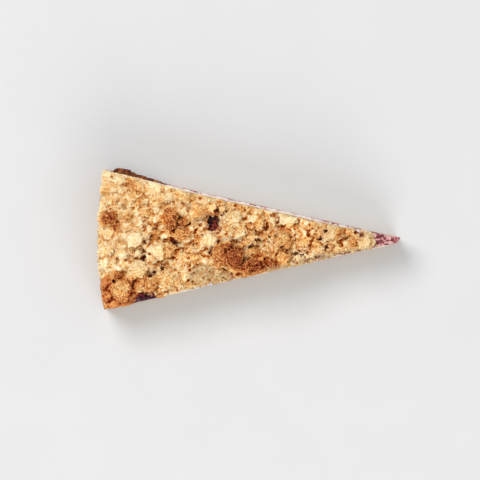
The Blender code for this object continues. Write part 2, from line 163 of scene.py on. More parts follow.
# The clumps that the crumble shows: middle x and y, half sizes along and across in millimetres,
# turn in degrees, lift in millimetres, toast from 0, pale, to 1, dark brown, with paler places
# below 0, and smoothness.
CLUMPS = (
    # The outer end, from +Y to -Y
    (-62.0, 28.3, 3.4, 2.6, 0, 0.0, 0.06, 0.4),
    (-57.0, 26.6, 3.0, 2.3, 0, 0.0, 0.10, 0.4),
    (-64.0, 22.3, 1.6, 1.3, 0, 0.2, 0.34, 0.4),
    (-61.4, 23.4, 1.6, 1.3, 30, 0.2, 0.40, 0.3),
    (-50.9, 25.0, 2.3, 1.6, -30, 0.5, 0.62, 0.6),
    (-47.9, 24.0, 2.6, 1.9, 0, 0.4, 0.48, 0.5),
    (-48.6, 20.3, 2.3, 2.0, 0, 0.6, 0.54, 0.3),
    (-47.4, 17.0, 1.7, 1.3, 0, 0.3, 0.64, 0.4),
    (-51.6, 18.8, 2.4, 1.5, 20, 0.2, 0.40, 0.4),
    (-57.9, 17.3, 1.9, 1.1, 0, 0.3, 0.60, 0.4),
    (-54.4, 16.3, 1.6, 2.6, 0, 0.1, 0.14, 0.2),
    (-40.9, 22.5, 4.8, 2.9, -20, 0.3, 0.04, 0.6),
    (-40.7, 18.0, 2.0, 1.9, 0, 0.3, 0.42, 0.4),
    (-38.2, 17.2, 1.7, 1.4, 0, 0.3, 0.60, 0.4),
    (-34.6, 19.2, 2.8, 2.6, 0, 0.3, 0.08, 0.3),
    (-62.7, 10.7, 2.1, 1.7, 20, 0.3, 0.70, 0.0),
    (-59.4, 10.4, 2.3, 2.1, 0, 0.6, 0.78, 0.0),
    (-61.0, 7.6, 2.7, 1.7, -15, 0.4, 0.70, 0.0),
    (-57.9, 5.4, 1.7, 2.2, 0, 0.2, 0.78, 0.3),
    (-63.4, 6.5, 1.8, 1.4, -30, 0.2, 0.48, 0.5),
    (-54.4, 9.5, 1.7, 1.2, 0, 0.2, 0.62, 0.2),
    (-52.0, 11.4, 2.0, 1.6, 40, 0.3, 0.44, 0.3),
    (-55.3, 12.6, 1.8, 1.5, 0, 0.3, 0.16, 0.4),
    (-44.9, 12.2, 2.8, 1.9, 10, 0.6, 0.46, 0.2),
    (-42.9, 9.6, 1.6, 2.2, 0, 0.5, 0.42, 0.4),
    (-42.2, 7.0, 1.3, 1.2, 0, 0.3, 0.62, 0.3),
    (-47.7, 7.2, 2.3, 3.0, 0, 0.5, 0.04, 0.5),
    (-40.5, 9.6, 1.4, 2.0, 0, 0.3, 0.10, 0.5),
    (-40.2, 13.4, 2.4, 1.5, 0, 0.3, 0.14, 0.4),
    (-34.1, 12.2, 2.7, 2.3, 0, 0.6, 0.68, 0.0),
    (-33.6, 8.3, 2.6, 2.6, 0, 0.7, 0.70, 0.0),
    (-40.0, 2.8, 1.7, 1.6, 0, 0.5, 0.62, 0.2),
    (-43.4, 4.6, 2.1, 1.3, 10, 0.2, 0.08, 0.4),
    (-49.7, 0.1, 3.2, 2.9, 0, 0.6, 0.00, 0.55),
    (-52.8, 4.4, 2.9, 1.4, 15, 0.4, 0.46, 0.3),
    (-48.4, 4.0, 2.0, 0.9, -25, 0.2, 0.50, 0.4),
    (-60.2, -3.3, 3.0, 1.4, 40, 0.2, 0.36, 0.3),
    (-35.2, 0.6, 1.5, 1.4, 0, 0.3, 0.76, 0.3),
    (-37.5, 5.6, 1.5, 1.9, 0, 0.2, 0.12, 0.4),
    (-35.4, 3.7, 1.5, 1.4, 0, 0.3, 0.50, 0.2),
    (-40.1, -4.5, 3.1, 2.8, 0, 0.8, 0.04, 0.6),
    (-35.7, -5.0, 3.9, 3.0, 0, 0.6, 0.36, 0.1),
    (-47.5, -6.5, 2.2, 1.6, 15, 0.4, 0.08, 0.5),
    (-43.6, -6.4, 2.2, 1.5, -15, 0.4, 0.06, 0.5),
    (-54.5, -7.0, 2.6, 1.6, 15, 0.4, 0.06, 0.6),
    (-57.2, -7.2, 1.7, 1.4, 0, 0.3, 0.54, 0.5),
    (-52.8, -10.2, 2.0, 2.4, 0, 0.4, 0.50, 0.7),
    (-55.6, -9.7, 1.2, 1.1, 0, 0.3, 0.05, 0.8),
    (-56.6, -12.3, 2.5, 1.6, -15, 0.7, 0.08, 0.7),
    (-56.9, -14.9, 2.4, 1.3, 0, 0.3, 0.76, 0.5),
    (-62.0, -18.6, 2.1, 2.1, 0, 0.4, 0.74, 0.7),
    (-60.2, -15.6, 1.8, 1.6, 0, 0.3, 0.48, 0.1),
    (-55.8, -21.8, 4.2, 3.8, 0, 1.2, 0.30, 0.0),
    (-48.4, -13.6, 4.5, 3.4, 35, 0.8, 0.24, 0.1),
    (-43.9, -19.9, 4.6, 3.6, 10, 0.9, 0.46, 0.0),
    (-36.2, -17.6, 4.2, 4.6, 0, 0.6, 0.24, 0.0),
    (-63.2, -10.8, 2.4, 3.0, 0, 0.1, 0.10, 0.6),
    (-51.0, -18.4, 1.5, 1.5, 0, 0.3, 0.38, 0.7),
    (-59.0, -28.0, 3.0, 2.0, 10, 0.2, 0.70, 0.6),
    (-61.2, -24.6, 1.6, 3.0, 5, 0.0, 0.74, 0.5),
    (-54.0, -27.8, 3.6, 1.9, 12, 0.4, 0.70, 0.9),
    (-51.9, -24.3, 0.9, 3.2, 0, 0.4, 0.74, 0.95),
    (-50.2, -25.0, 0.9, 3.0, 0, 0.3, 0.70, 0.95),
    (-63.2, -24.5, 1.2, 2.8, 8, 0.0, 0.80, 0.1),
    # The middle
    (-28.4, 19.2, 4.2, 2.5, -25, 1.0, 0.44, 0.5),
    (-24.4, 17.9, 2.1, 1.2, -35, 0.4, 0.60, 0.6),
    (-30.2, 15.4, 2.1, 1.3, 0, 0.3, 0.28, 0.3),
    (-28.5, 12.6, 2.5, 1.9, 0, 0.5, 0.12, 0.3),
    (-25.1, 15.4, 1.9, 1.5, 0, 0.4, 0.10, 0.7),
    (-21.4, 13.6, 3.1, 3.0, 0, 0.9, 0.48, 0.6),
    (-16.4, 13.5, 2.0, 3.3, 0, 0.8, 0.30, 0.7),
    (-16.6, 17.0, 2.5, 1.2, -10, 0.5, 0.04, 0.7),
    (-23.5, 11.4, 2.6, 2.2, 0, 0.4, 0.34, 0.6),
    (-19.6, 7.2, 2.3, 2.8, 0, 0.6, 0.16, 0.7),
    (-20.6, 5.0, 1.5, 2.0, 0, 0.3, 0.12, 0.8),
    (-24.4, 5.0, 1.6, 2.3, 0, 0.4, 0.22, 0.8),
    (-28.3, 7.4, 2.8, 1.9, 0, 0.5, 0.66, 0.0),
    (-28.9, 2.0, 3.1, 2.6, 0, 0.8, 0.50, 0.5),
    (-22.4, -0.6, 1.3, 2.0, 0, -0.2, 0.66, 0.2),
    (-17.0, 0.0, 3.8, 2.7, 0, 0.7, 0.02, 0.5),
    (-22.6, -4.6, 2.9, 1.6, 0, 0.4, 0.16, 0.3),
    (-21.8, -7.5, 3.5, 1.5, 5, 0.4, 0.44, 0.8),
    (-29.0, -7.5, 3.0, 3.4, 30, 0.2, 0.24, 0.0),
    (-28.6, -13.6, 3.4, 3.8, 0, 0.1, 0.18, 0.0),
    (-10.5, 13.8, 1.9, 2.3, 0, 0.3, 0.34, 0.5),
    (-6.3, 9.6, 4.2, 4.0, 0, 0.5, 0.10, 0.0),
    (-10.0, 3.8, 1.7, 1.4, 30, 0.5, 0.06, 0.6),
    (-3.5, 14.3, 3.0, 1.3, -15, 0.5, 0.54, 0.5),
    (-3.9, 1.9, 3.6, 1.2, 30, 0.9, 0.04, 0.6),
    (-9.6, 0.4, 2.6, 1.5, 25, 0.6, 0.06, 0.3),
    (-2.9, -2.8, 2.2, 1.1, 30, 0.4, 0.60, 0.6),
    (-8.8, -3.5, 2.3, 2.1, 0, 1.5, 0.82, 0.0),
    (-11.9, -7.2, 3.0, 4.2, 0, 1.2, 0.66, 0.0),
    (-7.1, -7.6, 2.9, 3.3, 0, 1.5, 0.88, 0.0),
    (-4.3, -10.7, 3.2, 2.8, 0, 1.4, 0.90, 0.0),
    (1.0, -11.2, 3.6, 2.9, 0, 1.4, 0.88, 0.0),
    (5.3, -11.7, 3.4, 2.6, 0, 1.3, 0.88, 0.0),
    (10.2, -10.4, 3.0, 2.5, 0, 1.3, 0.86, 0.3),
    (1.2, -6.4, 4.0, 2.1, 0, 0.9, 0.48, 0.0),
    (6.8, -6.9, 3.4, 1.9, 0, 0.8, 0.62, 0.0),
    (14.5, -8.2, 2.8, 2.8, 0, 0.6, 0.52, 0.6),
    (-5.2, -13.6, 5.0, 1.1, 0, 0.4, 0.60, 0.8),
    (8.5, -14.0, 5.0, 0.9, 8, 0.0, 0.60, 0.6),
    # The part before the point
    (3.5, 12.4, 3.0, 1.8, -12, 0.4, 0.28, 0.5),
    (1.3, 6.3, 1.7, 1.5, 0, 0.5, 0.50, 0.3),
    (4.5, 7.0, 2.6, 3.4, 0, 0.5, 0.32, 0.1),
    (3.0, 1.2, 3.2, 2.2, 0, 0.5, 0.24, 0.1),
    (10.5, 8.6, 2.2, 1.7, 0, 0.5, 0.06, 0.6),
    (17.4, 9.0, 3.9, 2.0, -12, 0.9, -0.08, 0.6),
    (17.6, 5.7, 3.4, 1.5, 15, 0.9, 0.50, 0.7),
    (21.6, 5.5, 1.7, 1.0, 20, 0.5, 0.62, 0.5),
    (17.3, 3.7, 1.6, 0.8, 15, -0.3, 0.80, 0.5),
    (13.4, 3.4, 2.0, 1.6, 0, 0.3, 0.16, 0.5),
    (14.8, 0.0, 2.9, 2.2, 0, 1.0, 0.38, 0.0),
    (17.7, -1.4, 1.5, 2.0, 0, 1.0, 0.72, 0.1),
    (15.2, -4.4, 1.3, 1.1, 0, 0.3, 0.60, 0.2),
    (9.5, -2.8, 2.4, 1.5, -20, 0.1, 0.28, 0.1),
    (6.0, -3.0, 1.9, 1.4, 0, 0.2, 0.20, 0.1),
    (24.2, 3.0, 1.5, 2.8, 10, 0.6, 0.16, 0.7),
    (25.3, 7.6, 2.0, 1.6, 0, 0.6, -0.08, 0.6),
    (28.6, 3.6, 1.6, 1.6, 0, 0.5, -0.06, 0.6),
    (29.5, -1.7, 2.2, 1.6, 0, 0.6, 0.44, 0.7),
    (24.6, -3.0, 2.6, 1.7, 0, 0.3, -0.05, 0.5),
    (28.6, 6.4, 1.3, 1.0, 0, 0.3, 0.38, 0.6),
    (31.5, 6.2, 1.8, 1.4, 0, 0.4, -0.08, 0.6),
    (29.4, -5.6, 2.6, 1.4, 10, 0.0, 0.04, 0.3),
    (34.2, 1.4, 1.7, 2.4, 0, 0.3, -0.02, 0.5),
    (37.3, 3.2, 2.5, 3.1, -15, 0.5, 0.04, 0.5),
    (40.3, 2.8, 1.7, 2.5, -15, 0.5, 0.58, 0.5),
    (43.6, 3.4, 1.9, 1.3, -12, 0.4, 0.32, 0.8),
    (42.4, -1.2, 2.5, 1.8, 15, 0.4, 0.26, 0.8),
    (46.4, -1.6, 1.5, 1.9, 0, 0.1, 0.60, 0.2),
    (51.3, -1.0, 3.2, 2.5, -8, 0.6, 0.08, 0.6),
    (52.6, 1.6, 1.9, 1.1, -10, 0.3, -0.15, 0.7),
    (40.6, -4.9, 2.9, 1.0, 12, 0.1, 0.16, 0.3),
)

# Clumps of middling toast are nearer to pale than to brown.
TOAST_POWER = 1.15

# Clumps strewn between those: how many are tried for, their half sizes, and how close they come
FILL_TRIES = 5000
FILL_SIZES = (1.0, 2.7)
FILL_SPACING = 0.78

# Gaps that go down towards the filling: x, y and radius, in millimetres
GAPS = (
    (-32.0, -1.2, 1.1),
    (-33.2, 0.4, 0.8),
    (-31.0, -2.4, 0.8),
    (-45.7, -5.3, 1.0),
    (-46.0, -8.2, 1.2),
    (-43.0, -15.6, 1.0),
    (-41.0, -14.6, 0.8),
    (-37.8, -12.8, 1.0),
    (-13.6, 12.6, 1.3),
    (8.1, 5.2, 1.5),
    (4.6, -0.4, 1.2),
    (12.2, 1.6, 0.7),
    (9.4, 1.4, 0.5),
    (-29.6, 9.6, 0.8),
    (-26.3, 6.9, 1.0),
    (-45.6, -0.6, 0.8),
    (31.6, 0.4, 0.9),
    (34.0, 4.0, 0.9),
    (34.6, -3.2, 0.8),
    (38.2, -5.4, 0.5),
    (19.4, -5.9, 0.6),
    (20.7, -6.4, 0.6),
    (21.9, -6.1, 0.6),
    (23.2, -6.5, 0.6),
    (24.6, -6.2, 0.6),
    (26.0, -6.0, 0.6),
    (20.2, -8.1, 0.5),
    (49.6, 2.6, 1.3),
    (47.3, 3.3, 0.8),
    (-16.2, -5.8, 0.8),
    (-58.8, -18.0, 0.6),
    (-38.2, -24.2, 0.9),
    (-46.8, -24.2, 1.4),
    (-44.0, -24.8, 1.4),
    (-41.4, -24.6, 1.2),
    (-48.4, -25.2, 1.0),
)

# Where the cut went through the crumble and it shows its pale, floury, pitted inside: middle x and
# y, half sizes along and across in millimetres, and turn in degrees.
FLOURY = (
    (-20.5, -15.0, 7.0, 5.0, 15),
    (-11.5, -16.4, 4.6, 2.4, 12),
    (24.5, -9.8, 6.0, 1.8, 13),
    (33.0, -6.8, 6.0, 1.6, 13),
    (43.0, -5.2, 8.0, 0.9, 12),
)

# Juice that shows between the crumbs: x, y and radius in millimetres, and strength
JUICE = (
    (-15.2, 7.2, 3.2, 1.0),
    (-44.5, -25.5, 5.0, 1.0),
    (-38.0, -24.3, 1.2, 1.0),
    (13.0, 10.6, 1.3, 0.7),
    (21.6, 7.6, 1.2, 0.5),
    (34.4, 6.0, 1.3, 0.6),
    (33.9, 3.8, 1.3, 0.9),
    (31.9, 0.1, 1.3, 0.9),
    (34.2, -3.3, 1.5, 0.9),
    (37.6, -3.2, 1.1, 0.8),
    (49.6, 2.6, 1.6, 1.0),
    (26.4, -9.4, 2.0, 1.0),
    (20.6, -7.6, 1.3, 0.8),
    (23.2, -6.6, 2.4, 0.8),
    (32.9, -7.3, 1.6, 0.8),
    (29.8, -8.3, 2.2, 0.5),
    (36.4, -6.5, 2.2, 0.5),
    (41.0, -5.4, 1.6, 0.4),
    (-16.2, -17.8, 1.4, 0.9),
    (-12.2, -18.9, 1.3, 0.9),
    (-7.6, -15.3, 1.3, 0.8),
    (-6.8, -17.2, 1.6, 0.8),
    (-2.6, -16.2, 1.6, 1.0),
    (1.7, -15.9, 1.0, 0.8),
    (-35.0, -23.8, 1.3, 0.8),
    (-45.8, -6.0, 2.4, 0.5),
    (-42.0, -14.4, 2.2, 0.5),
    (-32.0, -1.2, 1.6, 0.8),
    (55.8, -1.0, 1.6, 0.7),
)

# Single loose crumbs: x, y and radius in millimetres, toast, and how far juice has soaked in
LOOSE_CRUMBS = (
    # Round the hole in the middle
    (-13.6, 9.6, 1.0, 0.70, 0.45),
    (-12.8, 7.4, 1.1, 0.65, 0.40),
    (-12.4, 5.0, 1.0, 0.60, 0.35),
    (-14.2, 4.4, 0.9, 0.80, 0.60),
    (-15.4, 5.2, 0.9, 0.85, 0.60),
    (-14.6, 8.2, 0.9, 0.80, 0.55),
    (-13.9, 6.2, 0.9, 0.85, 0.60),
    (-15.2, 6.3, 0.8, 0.85, 0.65),
    (-16.2, 4.9, 0.9, 0.80, 0.60),
    (-14.4, 6.8, 0.8, 0.80, 0.60),
    (-13.4, 2.9, 0.9, 0.70, 0.40),
    (-17.8, 5.6, 0.7, 0.50, 0.30),
    (-17.9, 10.4, 0.9, 0.60, 0.25),
    (-15.6, 11.4, 1.0, 0.60, 0.30),
    (-13.8, 11.6, 0.9, 0.50, 0.20),
    (-18.5, 7.4, 0.8, 0.40, 0.15),
    (-18.6, 9.0, 0.7, 0.40, 0.10),
    # At the berries by the corner
    (-40.2, -22.6, 1.3, 0.45, 0.00),
    (-38.6, -22.0, 1.2, 0.40, 0.00),
    (-37.4, -23.0, 1.1, 0.50, 0.00),
    (-39.0, -24.4, 1.0, 0.50, 0.10),
    (-37.6, -24.6, 0.9, 0.40, 0.10),
    (-51.4, -25.6, 1.1, 0.60, 0.00),
    (-51.2, -27.0, 0.9, 0.60, 0.05),
    (-50.2, -24.2, 1.1, 0.60, 0.00),
    (-50.0, -26.3, 0.8, 0.60, 0.25),
    # Beside the crumble before the point
    (45.8, 4.7, 0.8, 0.05, 0.10),
    (50.4, 3.8, 0.9, 0.00, 0.00),
    (52.0, 3.3, 0.9, 0.05, 0.00),
    (53.5, 2.8, 0.9, 0.00, 0.00),
    (54.7, 2.0, 0.8, 0.10, 0.15),
)


def smooth_step(value, start, end):
    share = np.clip((value - start) / (end - start), 0, 1)
    return share * share * (3 - 2 * share)


def beyond_cut(points, side):
    """How far points lie outside the cut plane at +Y, side 1, or at -Y, side -1."""
    across = side * points[:, 1] * math.cos(HALF_ANGLE)
    return (points[:, 0] - CAKE_CENTRE_X) * math.sin(HALF_ANGLE) + across


def move_out(points, side, distance):
    """Moves points out through the cut at +Y, side 1, or at -Y, side -1."""
    points[:, 0] += distance * math.sin(HALF_ANGLE)
    points[:, 1] += side * distance * math.cos(HALF_ANGLE)


def press_flat(points, side, over):
    """Moves back the points that lie over a flat face on this side, by how far each does."""
    move_out(points, side, -np.maximum(over, 0))


def from_centre(points):
    return np.hypot(points[:, 0] - CAKE_CENTRE_X, points[:, 1])


def keep_round(points, limit):
    """Moves back the points that lie further than the limit from the cake's centre."""
    away = from_centre(points)
    pulled = np.maximum(away - limit, 0) / away
    points[:, 0] -= pulled * (points[:, 0] - CAKE_CENTRE_X)
    points[:, 1] -= pulled * points[:, 1]


def along_x(points, start, end):
    """Rises from 0 to 1 between two values of X, in millimetres."""
    return smooth_step(points[:, 0], start * MM, end * MM)


def along_y(points, start, end):
    return smooth_step(points[:, 1], start * MM, end * MM)


def wave(x, y, size, seed):
    return 1.6 * noise.noise(Vector((x / size, y / size, seed)))


def cream_top(x, y):
    """Where the cheesecake ends and the berries begin."""
    return CREAM_LEVEL + 1.5 * MM * wave(x, y, 17 * MM, 3.7)


def berry_top(x, y):
    """The top of the filling, which sags towards the slice's point."""
    sag = POINT_SAG * float(smooth_step(x, 20 * MM, 66 * MM))
    return BERRY_LEVEL + 0.7 * MM * wave(x, y, 14 * MM, 8.1) - sag


# Meshes and numbers


def points_of(mesh):
    flat = np.empty(len(mesh.vertices) * 3, np.float32)
    mesh.vertices.foreach_get("co", flat)
    return flat.reshape(-1, 3).astype(float)


def normals_of(mesh):
    flat = np.empty(len(mesh.vertices) * 3, np.float32)
    mesh.vertex_normals.foreach_get("vector", flat)
    return flat.reshape(-1, 3).astype(float)


def set_points(mesh, points):
    mesh.vertices.foreach_set("co", points.astype(np.float32).ravel())
    mesh.update()


def set_values(mesh, name, values):
    found = mesh.attributes.get(name) or mesh.attributes.new(name, "FLOAT", "POINT")
    found.data.foreach_set("value", np.asarray(values, np.float32))


def values_of(mesh, name):
    values = np.empty(len(mesh.vertices), np.float32)
    mesh.attributes[name].data.foreach_get("value", values)
    return values


def tree_of(mesh):
    return BVHTree.FromPolygons([v.co for v in mesh.vertices], [p.vertices for p in mesh.polygons])


def shift_for(seed):
    return Vector((seed, seed * 0.7, seed * 1.3))


def noise_at(points, size, seed=0.0):
    """Smooth noise from about -1 to 1 with lumps of this size."""
    shift = shift_for(seed)
    return np.array([1.6 * noise.noise(Vector(p) / size + shift) for p in points])


def drift_at(points, size, seed=0.0):
    """Smooth noise as vectors, to draw straight borders out of shape."""
    parts = [noise_at(points, size, seed + 40.0 * axis) for axis in range(3)]
    return 0.63 * np.stack(parts, axis=1)


def cells_at(points, size, seed=0.0):
    """For grains of this size: how far a point is from its grain's edge, from 0 to about 1, and a
    number from 0 to 1 that is the same all over the grain."""
    shift = shift_for(seed)
    edge, tone = [], []
    for p in points:
        distances, places = noise.voronoi(Vector(p) / size + shift)
        edge.append(distances[1] - distances[0])
        tone.append(noise.cell(places[0] * 7.3))
    return np.array(edge), np.array(tone)


def in_oval(points, x, y, along, across, turn):
    """The distance of points from an oval's middle, 1 at its rim. Lengths in millimetres."""
    east, north = points[:, 0] / MM - x, points[:, 1] / MM - y
    c, s = math.cos(math.radians(turn)), math.sin(math.radians(turn))
    return np.hypot((east * c + north * s) / along, (north * c - east * s) / across)


def near_spots(points, spots):
    """The strongest of the spots (x, y, radius, strength) at each point."""
    most = np.zeros(len(points))
    for x, y, radius, strength in spots:
        away = in_oval(points, x, y, radius, radius, 0)
        most = np.maximum(most, strength * (1 - smooth_step(away, 0.55, 1.35)))
    return most


def new_piece(name, mesh, material):
    piece = bpy.data.objects.new(name, mesh)
    bpy.context.scene.collection.objects.link(piece)
    mesh.materials.clear()
    mesh.materials.append(material)
    mesh.shade_smooth()
    return piece


def joined_shapes(name, shapes, faces, values, material):
    """One piece of shapes that all have these faces, with each attribute's values for each shape."""
    mesh = bpy.data.meshes.new(name)
    triangles = [faces + i * len(shape) for i, shape in enumerate(shapes)]
    mesh.from_pydata(np.concatenate(shapes).tolist(), [], np.concatenate(triangles).tolist())
    for key, found in values.items():
        set_values(mesh, key, np.concatenate(found))
    return new_piece(name, mesh, material)


def applied(piece):
    """Replaces the piece's mesh with the one that its modifiers make."""
    graph = bpy.context.evaluated_depsgraph_get()
    mesh = bpy.data.meshes.new_from_object(piece.evaluated_get(graph))
    piece.modifiers.clear()
    piece.data = mesh
    return mesh


def resample(piece, grain, relax):
    """Gives the piece an even, dense skin."""
    material = piece.data.materials[0]
    voxels = piece.modifiers.new("voxels", "REMESH")
    voxels.mode = "VOXEL"
    voxels.voxel_size = grain
    relaxed = piece.modifiers.new("relaxed", "SMOOTH")
    relaxed.iterations = relax
    relaxed.factor = 0.5
    mesh = applied(piece)
    mesh.materials.clear()
    mesh.materials.append(material)
    mesh.shade_smooth()
    return mesh


def thin_out(piece, most):
    """Leaves at most so many triangles, taking flat places first."""
    count = sum(len(face.vertices) - 2 for face in piece.data.polygons)
    if count > most:
        thin = piece.modifiers.new("thin", "DECIMATE")
        thin.ratio = most / count
        applied(piece)
    piece.data.shade_smooth()


def local_level(points, upward, spread):
    """The mean height of the surface round each point."""
    step = 0.5 * MM
    low = points.min(0)
    column = ((points[:, :2] - low[:2]) / step).astype(int)
    size = column.max(0) + 1
    heights, counts = np.zeros(size), np.zeros(size)
    up = upward > 0.2
    np.add.at(heights, tuple(column[up].T), points[up, 2])
    np.add.at(counts, tuple(column[up].T), 1)
    kernel = np.hanning(2 * int(spread / step) + 3)
    for axis in (0, 1):
        heights = np.apply_along_axis(np.convolve, axis, heights, kernel, "same")
        counts = np.apply_along_axis(np.convolve, axis, counts, kernel, "same")
    level = heights / np.maximum(counts, 1e-9)
    return level[tuple(column.T)]


# Materials


class Shader:
    """A material's nodes, added one after the other."""

    def __init__(self, name, roughness, **sockets):
        self.material = bpy.data.materials.new(name)
        self.material.use_nodes = True
        self.tree = self.material.node_tree
        self.surface = self.tree.nodes["Principled BSDF"]
        self.surface.inputs["Roughness"].default_value = roughness
        for socket, value in sockets.items():
            self.surface.inputs[socket.replace("_", " ")].default_value = value
        self.place = self.tree.nodes.new("ShaderNodeTexCoord").outputs["Object"]

    def let_light_in(self, weight, radius):
        for socket, value in (("Weight", weight), ("Radius", radius), ("Scale", 1.0)):
            self.surface.inputs["Subsurface " + socket].default_value = value

    def node(self, kind, inputs=(), **settings):
        made = self.tree.nodes.new("ShaderNode" + kind)
        for key, value in settings.items():
            setattr(made, key, value)
        for key, value in dict(inputs).items():
            if isinstance(value, bpy.types.NodeSocket):
                self.tree.links.new(value, made.inputs[key])
            else:
                made.inputs[key].default_value = value
        return made

    def link(self, value, socket):
        self.tree.links.new(value, self.surface.inputs[socket])

    def value(self, name):
        return self.node("Attribute", attribute_name=name).outputs["Fac"]

    def noise(self, size, detail=3, roughness=0.55, distortion=0.0):
        """Noise from 0 to 1 with lumps of about this size."""
        inputs = {
            "Vector": self.place,
            "Scale": 1 / size,
            "Detail": detail,
            "Roughness": roughness,
            "Distortion": distortion,
        }
        return self.node("TexNoise", inputs).outputs["Fac"]

    def cells(self, size, output="Distance"):
        inputs = {"Vector": self.place, "Scale": 1 / size}
        return self.node("TexVoronoi", inputs).outputs[output]

    def spread(self, value, low, high, to_low=0.0, to_high=1.0):
        inputs = {0: value, 1: low, 2: high, 3: to_low, 4: to_high}
        return self.node("MapRange", inputs).outputs[0]

    def math(self, operation, a, b=0.0, clamp=False):
        return self.node("Math", {0: a, 1: b}, operation=operation, use_clamp=clamp).outputs[0]

    def ramp(self, value, stops):
        made = self.node("ValToRGB", {"Fac": value})
        elements = made.color_ramp.elements
        while len(elements) < len(stops):
            elements.new(0.5)
        for element, (position, colour) in zip(elements, stops):
            element.position = position
            element.color = (*colour, 1)
        return made.outputs["Color"]

    def mix(self, share, a, b, blend="MIX"):
        made = self.node("Mix", data_type="RGBA", blend_type=blend)
        for key, value in ((0, share), (6, a), (7, b)):
            if isinstance(value, bpy.types.NodeSocket):
                self.tree.links.new(value, made.inputs[key])
            elif key == 0:
                made.inputs[key].default_value = value
            else:
                made.inputs[key].default_value = (*value, 1)
        return made.outputs[2]

    def bump(self, height, depth, strength=1.0):
        """Fine relief, given as a height from 0 to 1 and its depth."""
        inputs = {"Height": height, "Distance": depth, "Strength": strength}
        self.link(self.node("Bump", inputs).outputs["Normal"], "Normal")


def crumble_material():
    """Baked crumbs: pale where they were shaded, golden, then brown on their tops, with painted
    shade that browns and darkens them in their crevices.
    """
    shader = Shader("crumble", roughness=0.85, Specular_IOR_Level=0.03)
    shader.let_light_in(0.1, (0.8 * MM, 0.5 * MM, 0.3 * MM))
    grains = shader.noise(0.55 * MM, detail=5, roughness=0.75)
    patches = shader.noise(3.0 * MM, detail=2)
    sugar = shader.noise(0.38 * MM, detail=2)
    speckle = shader.spread(grains, 0.3, 0.7, -0.14, 0.14)
    speckle = shader.math("ADD", speckle, shader.spread(sugar, 0.35, 0.65, 0.18, -0.18))
    stronger = shader.spread(shader.value("toast"), 0.35, 0.75, 1.0, 1.7)
    plainer = shader.spread(shader.value("rough"), 0.05, 0.5, 0.4, 1.0)
    stronger = shader.math("MULTIPLY", stronger, plainer)
    toast = shader.math("ADD", shader.value("toast"), shader.math("MULTIPLY", speckle, stronger))
    toast = shader.math("ADD", toast, shader.spread(patches, 0.3, 0.7, -0.05, 0.05))
    crevice_shade = shader.value("crevice_shade")
    toast = shader.math("ADD", toast, shader.math("MULTIPLY", crevice_shade, 0.26))
    baked = shader.ramp(
        toast,
        (
            (0.00, (0.99, 0.84, 0.54)),
            (0.16, (0.97, 0.73, 0.37)),
            (0.34, (0.89, 0.54, 0.19)),
            (0.50, (0.76, 0.35, 0.10)),
            (0.60, (0.66, 0.25, 0.075)),
            (0.72, (0.51, 0.138, 0.055)),
            (0.84, (0.33, 0.063, 0.024)),
            (1.00, (0.13, 0.015, 0.003)),
        ),
    )
    floury = shader.ramp(grains, ((0.35, (0.52, 0.35, 0.16)), (0.6, (0.75, 0.58, 0.33))))
    coloured = shader.mix(shader.value("floury"), baked, floury)
    # Painted shade: the crevices are darkened and reddened, and the deepest of them more so.
    crevice_shaded = shader.mix(crevice_shade, coloured, (0.80, 0.39, 0.05), "MULTIPLY")
    crevice_shaded_darkest = shader.mix(shader.spread(crevice_shade, 0.65, 1.0), crevice_shaded, (0.55, 0.25, 0.09), "MULTIPLY")
    juice = shader.ramp(grains, ((0.35, (0.16, 0.012, 0.020)), (0.65, (0.35, 0.08, 0.085))))
    shader.link(shader.mix(shader.value("juice"), crevice_shaded_darkest, juice), "Base Color")
    sand = shader.math("ADD", shader.noise(0.6 * MM, detail=5, roughness=0.8), grains)
    shader.bump(sand, 0.42 * MM)
    return shader.material


def cream_material(name, base, flecks):
    """Set cheesecake: dense and moist, with fine pores and stains from the berries."""
    shader = Shader(name, roughness=0.5, Specular_IOR_Level=0.4)
    shader.let_light_in(0.12, (4 * MM, 2.5 * MM, 1.5 * MM))
    cloud = shader.noise(4 * MM, detail=4, roughness=0.6)
    fine = shader.noise(0.9 * MM, detail=4, roughness=0.65, distortion=0.8)
    plain = shader.mix(shader.spread(cloud, 0.35, 0.65), base, flecks)
    uneven_stain = shader.spread(fine, 0.35, 0.65, -0.22, 0.22)
    wet = shader.spread(shader.value("stain"), 0.0, 0.45, 0.25, 1.0)
    stain = shader.math("ADD", shader.value("stain"), shader.math("MULTIPLY", uneven_stain, wet))
    stained = shader.ramp(
        stain,
        (
            (0.00, (1.0, 1.0, 1.0)),
            (0.30, (0.88, 0.72, 0.70)),
            (0.55, (0.64, 0.28, 0.27)),
            (0.78, (0.33, 0.055, 0.068)),
            (1.00, (0.11, 0.010, 0.018)),
        ),
    )
    shader.link(shader.mix(1.0, plain, stained, "MULTIPLY"), "Base Color")
    pores = shader.spread(shader.cells(1.3 * MM), 0.05, 0.30)
    drag = shader.math("ADD", pores, shader.noise(0.6 * MM, detail=3))
    shader.bump(drag, 0.14 * MM)
    return shader.material


def berry_material():
    """Dark berries: nearly black skin with a dull bloom that is partly painted highlight, crimson
    flesh where the knife went.
    """
    shader = Shader("berry", roughness=0.4, Specular_IOR_Level=0.25)
    bloom_and_highlight = shader.noise(1.6 * MM, detail=4, roughness=0.65)
    # The palest patches of the skin are partly bloom and partly painted highlight.
    skin = shader.ramp(
        bloom_and_highlight,
        (
            (0.30, (0.016, 0.002, 0.004)),
            (0.52, (0.060, 0.007, 0.013)),
            (0.66, (0.130, 0.065, 0.090)),
        ),
    )
    fibres = shader.noise(0.7 * MM, detail=4)
    flesh = shader.ramp(fibres, ((0.30, (0.09, 0.007, 0.018)), (0.70, (0.32, 0.040, 0.070))))
    shader.link(shader.mix(shader.value("flesh"), skin, flesh), "Base Color")
    shader.bump(shader.noise(0.8 * MM, detail=3), 0.12 * MM)
    return shader.material


